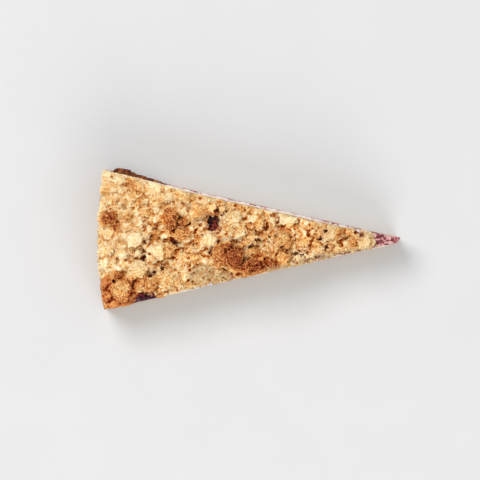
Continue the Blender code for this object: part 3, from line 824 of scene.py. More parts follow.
def pastry_material():
    """Short pastry: sandy and golden where cut, browner on its outside and underside."""
    shader = Shader("pastry", roughness=0.9, Specular_IOR_Level=0.08)
    grains = shader.noise(0.8 * MM, detail=4, roughness=0.7)
    patches = shader.noise(5 * MM, detail=3)
    bake = shader.math("ADD", shader.value("bake"), shader.spread(grains, 0.3, 0.7, -0.15, 0.15))
    bake = shader.math("ADD", bake, shader.spread(patches, 0.3, 0.7, -0.12, 0.12))
    colour = shader.ramp(
        bake,
        (
            (0.00, (0.80, 0.58, 0.30)),
            (0.30, (0.64, 0.36, 0.14)),
            (0.60, (0.42, 0.17, 0.055)),
            (0.85, (0.17, 0.050, 0.020)),
            (1.00, (0.09, 0.026, 0.012)),
        ),
    )
    shader.link(colour, "Base Color")
    sand = shader.math("ADD", grains, shader.noise(0.35 * MM, detail=3))
    shader.bump(sand, 0.18 * MM)
    return shader.material


def floor_material():
    shader = Shader("floor", roughness=0.9, Specular_IOR_Level=0.1)
    paper = shader.noise(30 * MM, detail=2)
    colour = shader.ramp(paper, ((0.3, (0.555, 0.555, 0.56)), (0.7, (0.565, 0.565, 0.57))))
    shader.link(colour, "Base Color")
    return shader.material


# Lumps strewn over a surface


def ball_template(detail):
    bm = bmesh.new()
    bmesh.ops.create_icosphere(bm, subdivisions=detail, radius=1)
    points = np.array([v.co for v in bm.verts])
    faces = np.array([[v.index for v in f.verts] for f in bm.faces])
    bm.free()
    return points, faces


def strewn(name, places, material, detail, seed, roughness):
    """One mesh of uneven lumps, with painted shade down their sides. Each place is (middle, way out,
    radius, flatness, {attribute: value})."""
    draw = random.Random(seed)
    ball, faces = ball_template(detail)
    shapes = []
    for i in range(CRUMB_SHAPES):
        rough = 1 + roughness * noise_at(ball, 1.1, seed + i * 5.1)
        rough += 0.5 * roughness * noise_at(ball, 0.5, seed + i * 3.7)
        shapes.append(ball * rough[:, None])
    laid, values = [], {}
    for middle, outward, radius, flatness, kept in places:
        turn = Euler([draw.uniform(0, 6.3) for _ in range(3)]).to_matrix()
        stretch = np.array([draw.uniform(0.8, 1.4), draw.uniform(0.7, 1.1), 1])
        shape = (draw.choice(shapes) * stretch) @ np.array(turn).T
        shape[:, 2] *= flatness
        facing = shape @ np.array(outward) / np.linalg.norm(shape, axis=1)
        # Painted shade: sides that face away from the way out are darker.
        low = SIDE_SHADE * (1 - smooth_step(facing, -0.1, 0.9))
        laid.append(shape * radius + np.array(middle))
        for key, value in kept.items():
            side_shade = low * (1 - value) if key == "crevice_shade" else 0
            values.setdefault(key, []).append(np.full(len(ball), value) + side_shade)
    return joined_shapes(name, laid, faces, values, material)


def drawn_size(draw, sizes, bias):
    """A random size between two, more often near the first the higher the bias is."""
    return sizes[0] + (sizes[1] - sizes[0]) * draw.random() ** bias


def surface_draws(mesh, count, seed, wanted):
    """Random points on the mesh, as likely as wanted says for each vertex, with their normals and
    the numbers of the vertices beside them."""
    draw = np.random.default_rng(seed)
    mesh.calc_loop_triangles()
    corners = np.empty(len(mesh.loop_triangles) * 3, np.int32)
    mesh.loop_triangles.foreach_get("vertices", corners)
    corners = corners.reshape(-1, 3)
    points, normals = points_of(mesh), normals_of(mesh)
    a, b, c = (points[corners[:, i]] for i in range(3))
    areas = np.linalg.norm(np.cross(b - a, c - a), axis=1)
    weights = areas * wanted[corners].mean(1)
    chosen = draw.choice(len(corners), count, p=weights / weights.sum())
    u, v = draw.random(count), draw.random(count)
    folded = u + v > 1
    u[folded], v[folded] = 1 - u[folded], 1 - v[folded]
    a, b, c = (points[corners[chosen, i]] for i in range(3))
    found = a + (b - a) * u[:, None] + (c - a) * v[:, None]
    return found, normals[corners[chosen, 0]], corners[chosen, 0]


def spread_out(points, gap):
    """The numbers of the points that stay this far from all those before them."""
    tree = KDTree(len(points))
    for i, point in enumerate(points):
        tree.insert(point, i)
    tree.balance()
    kept, dropped = [], set()
    for i, point in enumerate(points):
        if i not in dropped:
            kept.append(i)
            dropped.update(j for _, j, _ in tree.find_range(point, gap))
    return kept


# The crumble


def crumble_over(points, side):
    """How far points lie outside the crumble's leaning cut face on this side."""
    reach = CRUMBLE_REACH[side] * smooth_step(-points[:, 0], *REACH_SPAN)
    lean = CRUMBLE_LEAN[side] * (points[:, 2] - BERRY_LEVEL)
    return beyond_cut(points, side) + CRUMBLE_INSETS[side] - reach + lean


def cut_share(points, normals):
    """1 on the crumble's cut faces, 0 away from them."""
    near = np.maximum(crumble_over(points, 1), crumble_over(points, -1))
    sideways = smooth_step(np.abs(normals[:, 1]), 0.55, 0.8)
    return smooth_step(near, -0.7 * MM, -0.3 * MM) * sideways


def keep_inside_cuts(points):
    for side in (1, -1):
        press_flat(points, side, crumble_over(points, side))


class Clumps:
    """Ovals that the crumble's surface breaks up into, all in millimetres."""

    def __init__(self):
        self.rows, self.sizes, self.lifts, self.toasts, self.smooths = [], [], [], [], []

    def add(self, middle, halves, turn, lift, toast, smooth):
        axes = np.array(turn.to_matrix()).T / np.array(halves)[:, None]
        form = axes.T @ axes
        pull = form @ middle
        self.rows.append(
            [form[0, 0], form[1, 1], form[2, 2], form[0, 1], form[0, 2], form[1, 2]]
            + list(pull)
            + [middle @ pull]
        )
        self.sizes.append(min(halves))
        self.lifts.append(lift)
        self.toasts.append(toast)
        self.smooths.append(smooth)

    def distances(self, points):
        """Each point's distance to each clump's middle, 1 at the clump's rim."""
        x, y, z = points.T
        squares = [x * x, y * y, z * z, 2 * x * y, 2 * x * z, 2 * y * z]
        terms = np.stack(squares + [-2 * x, -2 * y, -2 * z, np.ones(len(points))])
        return np.sqrt(np.maximum(terms.T @ np.array(self.rows).T, 0))

    def nearest(self, points):
        """The numbers of the two nearest clumps at each point, and their distances."""
        found = []
        for part in np.array_split(points / MM, len(points) // 5000 + 1):
            away = self.distances(part)
            row = np.arange(len(part))
            first = away.argmin(1)
            near = away[row, first].copy()
            away[row, first] = np.inf
            second = away.argmin(1)
            found.append((first, near, second, away[row, second]))
        return [np.concatenate(column) for column in zip(*found)]


def find_clumps(mesh):
    """The clumps that the list names, then random ones in the room that they leave."""
    tree = tree_of(mesh)
    clumps = Clumps()
    for x, y, along, across, turn, lift, toast, smooth in CLUMPS:
        top = tree.ray_cast(Vector((x * MM, y * MM, 0.1)), Vector((0, 0, -1)))[0]
        height = top.z / MM if top else BERRY_LEVEL / MM
        upright = 1.3 * max(along, across)
        middle = np.array([x, y, height + lift - 0.4 * min(along, across)])
        turned = Euler((0, 0, math.radians(turn)))
        toast = max(toast, 0) ** TOAST_POWER + min(toast, 0)
        clumps.add(middle, (along, across, upright), turned, lift, toast, smooth)

    draw = random.Random(8)
    middles, normals, _ = surface_draws(mesh, FILL_TRIES, 5, normals_of(mesh)[:, 2] > -0.3)
    kept = []
    tones = noise_at(middles, 9 * MM, 4.0)
    named = list(clumps.toasts)
    for middle, normal, tone in zip(middles / MM, normals, tones):
        size = drawn_size(draw, FILL_SIZES, 1.6)
        away = clumps.distances(middle[None])[0][: len(CLUMPS)]
        if away.min() < 0.95:
            continue
        if any(np.linalg.norm(middle - m) < FILL_SPACING * (size + s) for m, s in kept):
            continue
        kept.append((middle, size))
        halves = [size * draw.uniform(0.8, 1.35) for _ in range(3)]
        turned = Euler([draw.uniform(0, 3.1) for _ in range(3)])
        own = 0.13 + 0.14 * tone + draw.uniform(-0.10, 0.16)
        alike = 1 - float(smooth_step(away.min(), 0.9, 1.4))
        toast = own + alike * (named[away.argmin()] - own)
        smooth = draw.random() ** 2
        # Before the point and on the corner at -Y they are smoother.
        if middle[0] > 24 or (middle[0] < -48 and middle[1] < -16):
            smooth = 0.4 + 0.5 * smooth
        clumps.add(middle - normal * 0.3 * size, halves, turned, 0, toast, smooth)
    return clumps


def between(clumps, first, near, second, next_near):
    """How far points are from the border of their clump, in metres, and the border's depth."""
    sizes = np.array(clumps.sizes)
    wide = (next_near - near) * np.minimum(sizes[first], sizes[second]) * MM
    pair = np.minimum(first, second) * 31.7 + np.maximum(first, second) * 12.9
    chance = np.modf(np.abs(np.sin(pair) * 917.3))[0]
    return wide, 0.25 + 0.75 * smooth_step(chance, 0.15, 0.6)


def uneven(points):
    """Points moved to and fro, which makes the ovals' outlines ragged."""
    fine = 0.7 * MM * drift_at(points, 2.4 * MM, 3.0)
    return points + fine + 1.1 * MM * drift_at(points, 5 * MM, 9.0)


def shape_clumps(piece, clumps):
    """Swells each clump and sinks the borders between them."""
    mesh = piece.data
    points, normals = points_of(mesh), normals_of(mesh)
    free = smooth_step(normals[:, 2], -0.5, 0.1) * (1 - cut_share(points, normals))
    free *= 1 - 0.6 * floury_share(points)
    first, near, second, next_near = clumps.nearest(uneven(points))
    wide, depth = between(clumps, first, near, second, next_near)
    lifts, sizes = np.array(clumps.lifts), np.array(clumps.sizes)
    swell = np.sqrt(np.maximum(1 - (np.minimum(near, 1.1) * 0.85) ** 2, 0)) - 0.55
    inside = 1 - smooth_step(near, 0.6, 1.1)
    move = 2.0 * lifts[first] * MM * inside * np.minimum(sizes[first] / 2.2, 1)
    move += swell * np.minimum(sizes[first], 3) * MM
    # The clumps that the list doesn't name lie lower.
    move -= 0.4 * MM * (first >= len(CLUMPS))
    move -= depth * (1 - smooth_step(wide, 0, 1.3 * MM)) * 1.6 * MM
    move += 0.12 * MM * noise_at(points, 1.5 * MM, 6.0)
    points += normals * (move * free)[:, None]
    # The crumble's end before the point is ragged.
    crumbled = 1.0 + 1.2 * noise_at(points * np.array([0, 1, 1]), 1.6 * MM, 16.0)
    points[:, 0] -= crumbled * MM * along_x(points, 52.5, 55.8)
    set_points(mesh, points)


def floury_share(points):
    share = np.zeros(len(points))
    for oval in FLOURY:
        share = np.maximum(share, 1 - smooth_step(in_oval(points, *oval), 0.7, 1.1))
    return share


def pale_share(points):
    """1 at the outer end and along the side at +Y, where the crumble is made paler."""
    outer = along_x(points, -38, -50) * along_y(points, -18, -12)
    beside = along_x(points, -14, -24) * along_y(points, 10, 14)
    return np.maximum(outer, beside)


def corner_share(points):
    """1 on the corner at -Y, apart from the round clump on it."""
    corner = along_x(points, -47, -50) * along_y(points, -15, -18)
    return corner * (1 - near_spots(points, [(*CORNER_CLUMP, 4.0, 1.0)]))


def enclosed_share(mesh, reach, ray_count=14, start_gap=0.08 * MM):
    """How much of the sky each vertex can't see because of the mesh nearby, from 0 to 1."""
    tree = tree_of(mesh)
    draw = random.Random(12)
    rays = [Vector((0, 0, 1))]
    while len(rays) < ray_count:
        ray = Vector([draw.uniform(-1, 1) for _ in range(3)])
        if 0.2 < ray.length < 1:
            rays.append(ray.normalized())
    hidden = []
    for v in mesh.vertices:
        normal, start = v.normal, v.co + v.normal * start_gap
        hits = 0
        for ray in rays:
            way = (normal + 0.95 * ray).normalized()
            distance = tree.ray_cast(start, way, reach)[3]
            if distance is not None:
                hits += 1 - 0.6 * distance / reach
        hidden.append(hits / len(rays))
    return np.array(hidden)


def grain_relief(points, bent, rough):
    """How high the grains stand, in millimetres, and a tone for each coarse and each fine grain."""
    edge, tone = cells_at(bent, 1.25 * MM, 1.0)
    fine_edge, fine_tone = cells_at(bent, 0.75 * MM, 2.0)
    relief = 0.15 * (smooth_step(edge, 0, 0.45) - 0.6) + 0.20 * (tone - 0.5)
    relief += 0.17 * (smooth_step(fine_edge, 0, 0.5) - 0.6) + 0.24 * (fine_tone - 0.5)
    relief = relief * (0.12 + 0.88 * rough) + 0.07 * noise_at(points, 1.0 * MM, 5.0)
    return relief, tone, fine_tone


def pit_share(points, bent, flour):
    """1 in the small pits of the floury places, which are fewer towards the point."""
    edge, tone = cells_at(bent, 1.1 * MM, 9.0)
    pits = smooth_step(tone, 0.45, 0.6) * smooth_step(edge, 0.05, 0.3) * flour
    return pits * (1 - 0.6 * along_x(points, 16, 26))


def roughen_crumble(piece, clumps):
    """Breaks the clumps up into grains, notes how each place was baked and where painted crevice
    shade goes.
    """
    mesh = piece.data
    points, normals = points_of(mesh), normals_of(mesh)
    up = smooth_step(normals[:, 2], -0.5, 0.1)
    cut = cut_share(points, normals)
    first, near, second, next_near = clumps.nearest(uneven(points))
    wide, depth = between(clumps, first, near, second, next_near)
    smooths, toasts = np.array(clumps.smooths), np.array(clumps.toasts)
    # The corner at -Y is smoother and browner than the rest.
    flour, corner = floury_share(points), corner_share(points)
    rough = (1 - smooths[first]) * (1 - 0.45 * flour) * (1 - 0.75 * corner)
    bent = points + 0.35 * MM * drift_at(points, 0.9 * MM, 2.0)
    relief, tone, fine_tone = grain_relief(points, bent, rough)
    move = relief * MM * up * (1 - cut)

    # The gaps go down towards the filling.
    spots = [(x, y, radius, 1.0) for x, y, radius in GAPS]
    gap = near_spots(points + 1.0 * MM * drift_at(points, 1.5 * MM, 13.0), spots) * up
    room = np.maximum(points[:, 2] - BERRY_LEVEL - 0.8 * MM, 0)
    # The cut faces are floury, but not where the browned ridge comes down to the cut.
    browned = near_spots(points, [RIDGE_FOOT])
    flour = np.maximum(flour, cut * along_x(points, -32, -24))
    flour *= 1 - browned
    pits = pit_share(points, bent, flour)
    move -= 0.7 * MM * pits
    move += 0.3 * MM * flour * noise_at(points, 1.6 * MM, 27.0)
    move += 0.25 * MM * cut * noise_at(points, 1.2 * MM, 17.0)
    points += normals * move[:, None]
    points[:, 2] -= gap * room * 0.7
    keep_inside_cuts(points)
    keep_round(points, CAKE_RADIUS + 0.25 * MM * noise_at(points, 3 * MM, 23.0))
    move_out(points, -1, CUT_HANG * cut * (points[:, 1] < 0))

    level = local_level(points, normals[:, 2], 5 * MM)
    peak = np.clip((points[:, 2] - level) / MM, -2, 2.5)
    blend = 0.5 * (1 - smooth_step(wide, 0, 1.4 * MM))
    toast = toasts[first] * (1 - blend) + toasts[second] * blend
    toast -= 0.10 * smooth_step(near, 0.6, 1.0) * smooth_step(toast, 0.35, 0.6)
    toast += 0.04 * peak + 0.06 * (tone - 0.5) + 0.05 * (fine_tone - 0.5)
    toast += 0.08 * noise_at(points, 3.5 * MM, 8.0)
    pale = pale_share(points)
    toast -= 0.18 * pale * (1 - smooth_step(toast, 0.3, 0.55))
    # The part before the point, the corner, the ridge's foot and the middle are browner.
    toast += 0.09 * along_x(points, 14, 40)
    toast += corner * np.maximum(0.69 - toast, 0)
    toast = np.maximum(toast, 0.60 * browned)
    toast += 0.06 * near_spots(points, [BROWNER_MIDDLE]) * (1 - smooth_step(toast, 0.4, 0.6))
    # Painted shade along the borders between clumps, in the gaps and in the pits.
    crevice_shade = 0.45 * depth * (1 - smooth_step(wide, 0, 1.0 * MM))
    crevice_shade *= (1 - 0.6 * corner) * (1 - 0.4 * pale)
    crevice_shade += gap + 1.1 * pits + 0.05 * rough * (1 - cut)
    dull = 0.35 * along_x(points, 26, 36) * (1 - smooth_step(toast, 0.35, 0.5))
    set_points(mesh, points)
    set_values(mesh, "toast", toast)
    set_values(mesh, "crevice_shade", crevice_shade)
    set_values(mesh, "floury", np.maximum(flour, dull))
    set_values(mesh, "rough", rough)


def standing_out(mesh, rounds):
    """How far each vertex stands out from the surface round it, which so many rounds of smoothing
    even out."""
    ends = np.empty(len(mesh.edges) * 2, np.int32)
    mesh.edges.foreach_get("vertices", ends)
    one, other = ends.reshape(-1, 2).T
    points = points_of(mesh)
    count = len(points)
    beside = np.maximum(np.bincount(ends, minlength=count), 1)
    calm = points.copy()
    for _ in range(rounds):
        for axis in range(3):
            total = np.bincount(one, calm[other, axis], count)
            total += np.bincount(other, calm[one, axis], count)
            calm[:, axis] = total / beside
    return ((points - calm) * normals_of(mesh)).sum(1)


def paint_crevice_shade(piece):
    """Painted shade deep between the clumps and in the hollows, where the sky is hidden, painted
    highlight on the tops that stand out, and the juice that came up in the deep places.
    """
    mesh = piece.data
    points = points_of(mesh)
    enclosed = smooth_step(enclosed_share(mesh, 3.5 * MM), 0.18, 0.85)
    grain = np.clip(standing_out(mesh, 3) / (0.06 * MM), -1, 1)
    lump = np.clip(standing_out(mesh, 25) / (0.30 * MM), -1, 1)
    flour = values_of(mesh, "floury")
    # Painted highlight and shade: grains and lumps that stand out are paler, hollows browner and
    # darker.
    set_values(mesh, "toast", values_of(mesh, "toast") - (0.10 * grain + 0.04 * lump) * (1 - flour))
    enclosed += 0.16 * np.maximum(-grain, 0) + 0.06 * np.maximum(-lump, 0)
    enclosed *= (1 - 0.3 * flour) * (1 - 0.35 * pale_share(points))
    # Round the clump on the corner at -Y lies bright, smooth crust, so it gets less painted shade.
    enclosed *= 1 - 0.45 * near_spots(points, [(*CORNER_CLUMP, 8.0, 1.0)])
    crevice_shade = values_of(mesh, "crevice_shade") + enclosed
    soaked = 0.45 * noise_at(points, 1.1 * MM, 19.0) * smooth_step(flour, 0.2, 0.8)
    juice = near_spots(points, JUICE) * smooth_step(crevice_shade + soaked, 0.15, 0.6)
    set_values(mesh, "crevice_shade", np.clip(crevice_shade, 0, 1))
    set_values(mesh, "juice", np.clip(juice, 0, 1))


def grow_lumps(piece, clumps, count, radii, detail, seed, rise):
    """Adds lumps that are part of the rough clumps, to be fused with them by the next resampling."""
    mesh = piece.data
    points, normals = points_of(mesh), normals_of(mesh)
    first = clumps.nearest(uneven(points))[0]
    rough = (1 - np.array(clumps.smooths)[first]) * (1 - floury_share(points))
    over = np.maximum(crumble_over(points, 1), crumble_over(points, -1))
    wanted = smooth_step(normals[:, 2], -0.3, 0.2) * (over < -0.6 * radii[1])
    wanted = wanted * (0.05 + smooth_step(rough, 0.25, 0.6))
    found, outward, _ = surface_draws(mesh, 3 * count, seed, wanted)
    draw = random.Random(seed)
    places = []
    for i in spread_out(found, (radii[0] + radii[1]) * 0.6)[:count]:
        radius = drawn_size(draw, radii, 1.4)
        places.append((found[i] + outward[i] * radius * rise, outward[i], radius, 1.0, {}))
    lumps = strewn("lumps", places, mesh.materials[0], detail, seed, 0.35)
    bm = bmesh.new()
    bm.from_mesh(mesh)
    bm.from_mesh(lumps.data)
    bm.to_mesh(mesh)
    bm.free()
    bpy.data.objects.remove(lumps)


def make_crumble(solid):
    material = crumble_material()
    clumps = find_clumps(solid.data)
    piece = new_piece("crumble_clumps", solid.data.copy(), material)
    coarse, middling, fine = SKIN_GRAINS
    resample(piece, coarse, relax=2)
    shape_clumps(piece, clumps)
    grow_lumps(piece, clumps, **LARGE_LUMPS)
    resample(piece, middling, relax=1)
    grow_lumps(piece, clumps, **SMALL_LUMPS)
    resample(piece, fine, relax=1)
    roughen_crumble(piece, clumps)
    thin_out(piece, MOST_TRIANGLES)
    paint_crevice_shade(piece)
    return piece, material


def strewn_crumbs(name, bed, material, count, radii, detail, seed, rise):
    """Crumbs on the rough clumps, coloured like the place where each lies."""
    mesh = bed.data
    points, normals = points_of(mesh), normals_of(mesh)
    toast, crevice_shade = values_of(mesh, "toast"), values_of(mesh, "crevice_shade")
    floury, juice = values_of(mesh, "floury"), values_of(mesh, "juice")
    over = np.maximum(crumble_over(points, 1), beyond_cut(points, -1) + 0.5 * MM)
    wanted = smooth_step(normals[:, 2], -0.1, 0.3) * (over < -0.8 * radii[1])
    wanted = wanted * (0.01 + smooth_step(values_of(mesh, "rough"), 0.3, 0.6))
    wanted = wanted * (1 - 0.7 * smooth_step(crevice_shade, 0.6, 1))
    found, outward, vertices = surface_draws(mesh, 3 * count, seed, wanted)
    kept = spread_out(found, (radii[0] + radii[1]) * 0.75)[:count]
    draw = random.Random(seed)
    places = []
    for i in kept:
        vertex = vertices[i]
        radius = drawn_size(draw, radii, 1.6)
        values = {
            "toast": toast[vertex] + draw.uniform(-0.12, 0.08),
            "crevice_shade": 0.5 * crevice_shade[vertex],
            "floury": floury[vertex],
            "juice": 0.4 * juice[vertex],
            "rough": 1.0,
        }
        middle = found[i] + outward[i] * radius * rise
        places.append((middle, outward[i], radius, draw.uniform(0.7, 1.0), values))
    return strewn(name, places, material, detail, seed, 0.3)


def dusted_crumbs(name, bed, material, count, radii, seed):
    """Pale, floury crumbs on the strip of cream beside the crumble at -Y."""
    mesh = bed.data
    points, normals = points_of(mesh), normals_of(mesh)
    wanted = smooth_step(normals[:, 2], 0.6, 0.85)
    wanted *= along_x(points, 4, 20) * along_x(points, 57, 51)
    over = beyond_cut(points, -1)
    wanted *= smooth_step(over, -2.2 * MM, -1.6 * MM) * (over < -0.9 * MM)
    found, outward, _ = surface_draws(mesh, 2 * count, seed, wanted)
    draw = random.Random(seed)
    places = []
    for i in spread_out(found, radii[0] * 1.2)[:count]:
        radius = drawn_size(draw, radii, 1.6)
        values = {
            "toast": draw.uniform(0.0, 0.3),
            "crevice_shade": 0.0,
            "floury": draw.uniform(0.3, 1.0),
            "juice": 0.8 * max(draw.uniform(-1.5, 1.0), 0),
            "rough": 1.0,
        }
        places.append((found[i] + outward[i] * radius * 0.3, outward[i], radius, 0.8, values))
    return strewn(name, places, material, 2, seed, 0.3)


def laid_crumbs(name, beds, material):
    """The loose crumbs that the list names, each on the highest of the beds at its place."""
    trees = [tree_of(bed.data) for bed in beds]
    draw = random.Random(31)
    places = []
    for x, y, radius, toast, juice in LOOSE_CRUMBS:
        over = Vector((x * MM, y * MM, 0.1))
        tops = [tree.ray_cast(over, Vector((0, 0, -1)))[0] for tree in trees]
        top = max(found.z for found in tops if found)
        middle = (over.x, over.y, top + 0.2 * radius * MM)
        # Those before the point are floury.
        floury = 0.45 if x > 40 else 0.0
        values = {"toast": toast, "crevice_shade": 0.0, "floury": floury, "juice": juice, "rough": 1.0}
        places.append((middle, (0, 0, 1), radius * MM, draw.uniform(0.7, 1.0), values))
    return strewn(name, places, material, 3, 31, 0.3)


# The layers under the crumble


def slice_point(radius, share, inset):
    angle = share * HALF_ANGLE
    x = CAKE_CENTRE_X - radius * math.cos(angle)
    return x, radius * math.sin(angle) - share * inset / math.cos(HALF_ANGLE)


def face_berries(side):
    """Middles and radii of the berries that one cut face went through."""
    draw = random.Random(40 + side)
    first, last = FACE_BERRY_ENDS
    for i in range(FACE_BERRY_COUNT):
        away = first + (last - first) * (i + draw.uniform(0.1, 0.9)) / FACE_BERRY_COUNT
        x, y = slice_point(away, side, FILLING_INSET)
        floor = cream_top(x, y) + LAYER_GAP + BERRY_CLEARANCE
        roof = berry_top(x, y) - BERRY_CLEARANCE
        radius = min(draw.uniform(*FACE_BERRY_RADII), (roof - floor) / 2)
        depth = FILLING_INSET + radius * draw.uniform(0.7, 1) - FACE_BERRY_PROUD
        x, y = slice_point(away, side, depth)
        yield np.array((x, y, draw.uniform(floor + radius, roof - radius))), radius


def top_berries():
    for x, y, radius in TOP_BERRIES:
        x, y, radius = x * MM, y * MM, radius * MM
        yield np.array((x, y, berry_top(x, y) + TOP_BERRY_RISE - radius)), radius


def make_berries():
    """Wrinkled berries, those at the cut faces sliced flat."""
    found = list(top_berries())[:BARE_BERRIES] + list(face_berries(1)) + list(face_berries(-1))
    ball, faces = ball_template(4)
    shapes, flesh = [], []
    for i, (middle, radius) in enumerate(found):
        rough = 1 + 0.05 * noise_at(ball, 0.6, i * 3.1) + 0.03 * noise_at(ball, 0.25, i * 1.7)
        shape = ball * rough[:, None] * (radius + 0.25 * MM) + middle
        bare = np.zeros(len(shape))
        for side in (1, -1):
            over = beyond_cut(shape, side) + FILLING_INSET - 0.15 * MM
            press_flat(shape, side, over)
            bare = np.maximum(bare, smooth_step(over, -0.05 * MM, 0.2 * MM))
        shapes.append(shape)
        flesh.append(bare)
    return joined_shapes("berries", shapes, faces, {"flesh": flesh}, berry_material())


def make_cream(solid, name, material, swell):
    piece = new_piece(name, solid.data.copy(), material)
    mesh = resample(piece, CREAM_GRAIN, relax=2)
    points, normals = points_of(mesh), normals_of(mesh)
    points += normals * swell
    side = smooth_step(-np.abs(normals[:, 2]), -0.7, -0.3)
    points += normals * (0.08 * MM * noise_at(points, 3.5 * MM, 4.0) * side)[:, None]
    points += normals * (0.05 * MM * noise_at(points, 1.1 * MM, 6.0) * side)[:, None]
    set_points(mesh, points)
    set_values(mesh, "stain", np.zeros(len(points)))
    return piece


def stain_berry_cream(piece):
    """Juice round the berries and in streaks at the point; the cut berries' bulges go flat."""
    mesh = piece.data
    points = points_of(mesh)
    stain = np.zeros(len(points))
    for middle, radius in list(top_berries()) + list(face_berries(1)) + list(face_berries(-1)):
        away = np.linalg.norm(points - middle, axis=1) - radius
        stain = np.maximum(stain, 0.75 * (1 - smooth_step(away, 0.0, 1.6 * MM)))
    for side in (1, -1):
        press_flat(points, side, beyond_cut(points, side) + FILLING_INSET - 0.1 * MM)
    bent = points + 1.6 * MM * drift_at(points, 3 * MM, 5.0)
    stretched = bent * np.array([0.45, 1.0, 1.0])
    streaks = noise_at(stretched, 1.2 * MM, 2.0) + 0.5 * noise_at(points, 0.7 * MM, 9.0)
    streaks = smooth_step(streaks, -0.1, 0.7)
    point = along_x(points, 53, 57)
    stain *= 0.6 + 0.6 * streaks
    stain = np.maximum(stain, point * (0.44 + 0.60 * streaks))
    patches = smooth_step(noise_at(points, 6 * MM, 11.0), 0.1, 0.8)
    specks = smooth_step(noise_at(points * np.array([0.5, 1.0, 1.0]), 0.5 * MM, 14.0), 0.25, 0.7)
    stain = np.maximum(stain, 0.8 * (0.3 + 0.7 * patches) * specks)
    # A thin, broken dark line runs along the top's edge at +Y, and -Y is pink near the point.
    edge = smooth_step(beyond_cut(points, 1), -1.0 * MM, -0.7 * MM)
    broken = smooth_step(noise_at(points * np.array([0.6, 1.0, 1.0]), 1.8 * MM, 21.0), 0.05, 0.5)
    tops = np.array([berry_top(x, y) for x, y, _ in points])
    edge *= smooth_step(points[:, 2] - tops, -1.4 * MM, -0.8 * MM)
    stain = np.maximum(stain, edge * broken)
    near_point = along_x(points, 14, 26) * along_y(points, 0, -2)
    stain = np.maximum(stain, near_point * (0.28 + 0.5 * streaks * patches))
    points[:, 0] += 0.9 * MM * along_x(points, 60, 65.5)
    points[:, 2] += 0.45 * MM * point * noise_at(points, 1.1 * MM, 18.0)
    set_points(mesh, points)
    set_values(mesh, "stain", stain)


def make_pastry(solid):
    piece = new_piece("pastry", solid.data.copy(), pastry_material())
    mesh = resample(piece, PASTRY_GRAIN, relax=2)
    points, normals = points_of(mesh), normals_of(mesh)
    along, widths = zip(*BULGE_WIDTHS)
    width = np.interp(points[:, 0] / MM, along, widths) * MM
    ragged = 0.32 * MM * noise_at(points, 1.5 * MM, 15.0)
    width += ragged + 0.25 * MM * noise_at(points, 0.8 * MM, 16.0)
    over = beyond_cut(points, 1)
    move_out(points, 1, np.maximum(width - over, 0) * smooth_step(over, -0.2 * MM, 0.5 * MM))
    flare = along_x(points, -62, -60) * along_x(points, -32, -38)
    flare *= smooth_step(beyond_cut(points, 1), -1.5 * MM, -0.5 * MM)
    for side, limit in ((1, width), (-1, -0.5 * MM)):
        press_flat(points, side, beyond_cut(points, side) - limit)
    rim_shown = along_y(points, -18, -21)
    keep_round(points, CAKE_RADIUS - RIM_TUCK * (1 - rim_shown))
    # The underside stays flat.
    lifted = smooth_step(points[:, 2], 0.1 * MM, 1.0 * MM)
    edge, tone = cells_at(points, 1.3 * MM, 2.0)
    sandy = 0.36 * MM * (smooth_step(edge, 0, 0.5) - 0.7)
    relief = sandy + 0.18 * MM * noise_at(points, 0.9 * MM, 3.0)
    relief += 0.15 * MM * noise_at(points, 6 * MM, 7.0)
    points += normals * (relief * lifted)[:, None]
    outside = smooth_step(from_centre(points), CAKE_RADIUS - 1.2 * MM, CAKE_RADIUS - 0.3 * MM)
    under = smooth_step(-points[:, 2], -0.8 * MM, -0.1 * MM)
    bake = 0.22 + 0.38 * np.maximum(outside, under) + 0.2 * (tone - 0.5)
    bake += flare * (1.08 + 0.3 * (tone - 0.5) - bake)
    set_points(mesh, points)
    set_values(mesh, "bake", bake)
    return piece


# The studio


def make_floor():
    bm = bmesh.new()
    bmesh.ops.create_grid(bm, x_segments=1, y_segments=1, size=3)
    mesh = bpy.data.meshes.new("floor")
    bm.to_mesh(mesh)
    bm.free()
    floor = new_piece("floor", mesh, floor_material())
    floor.location.z = -0.05 * MM


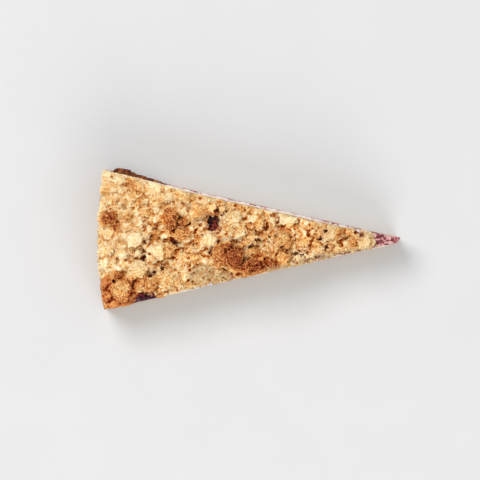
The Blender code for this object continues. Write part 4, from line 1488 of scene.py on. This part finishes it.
def add_area_light(name, place, size, power):
    light = bpy.data.lights.new(name, "AREA")
    light.shape = "DISK"
    light.size = size
    light.energy = power
    lamp = bpy.data.objects.new(name, light)
    lamp.location = place
    lamp.rotation_euler = (-Vector(place)).to_track_quat("-Z", "Y").to_euler()
    bpy.context.scene.collection.objects.link(lamp)


def add_camera():
    """Straight above and far off, as the photograph was taken."""
    data = bpy.data.cameras.new("camera")
    data.sensor_width = SENSOR_WIDTH
    data.lens = SENSOR_WIDTH * (CAMERA_PLACE[2] - FOCUS_LEVEL) / FRAME_WIDTH
    data.clip_end = 10
    camera = bpy.data.objects.new("camera", data)
    camera.location = CAMERA_PLACE
    bpy.context.scene.collection.objects.link(camera)
    bpy.context.scene.camera = camera


def add_world():
    world = bpy.data.worlds.new("studio")
    world.use_nodes = True
    sky = world.node_tree.nodes["Background"]
    sky.inputs["Color"].default_value = (1.0, 1.0, 1.0, 1)
    sky.inputs["Strength"].default_value = SKY_STRENGTH
    bpy.context.scene.world = world


def main():
    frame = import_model()
    nodes = frame["nodes"]

    crumble, crumbs = make_crumble(nodes["crumble"])
    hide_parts("crumble")
    nuggets = strewn_crumbs("crumble_nuggets", crumble, crumbs, **NUGGETS)
    grains = strewn_crumbs("crumble_grains", crumble, crumbs, **GRAINS)

    cream = cream_material("cream", *CREAM_COLOURS)
    berry_cream = cream_material("berry_cream", *BERRY_CREAM_COLOURS)
    cheesecake = make_cream(nodes["cheesecake"], "cheesecake_cream", cream, 0.12 * MM)
    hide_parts("cheesecake")
    filling = make_cream(nodes["berry_filling"], "berry_cream", berry_cream, 0.18 * MM)
    stain_berry_cream(filling)
    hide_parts("berry_filling")
    berries = make_berries()
    loose = laid_crumbs("crumble_loose", [crumble, berries, filling], crumbs)
    dust = dusted_crumbs("crumble_dust", filling, crumbs, **DUST)
    pastry = make_pastry(nodes["crust"])
    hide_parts("crust")

    slots = {
        "crumble": (crumble, nuggets, grains, loose, dust),
        "cheesecake": (cheesecake,),
        "berry_filling": (filling, berries),
        "crust": (pastry,),
    }
    for slot, pieces in slots.items():
        for piece in pieces:
            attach(piece, "root")

    make_floor()
    add_world()
    for name, settings in LIGHTS.items():
        add_area_light(name, *settings)
    add_camera()
    bpy.context.scene.view_settings.view_transform = "Standard"


main()
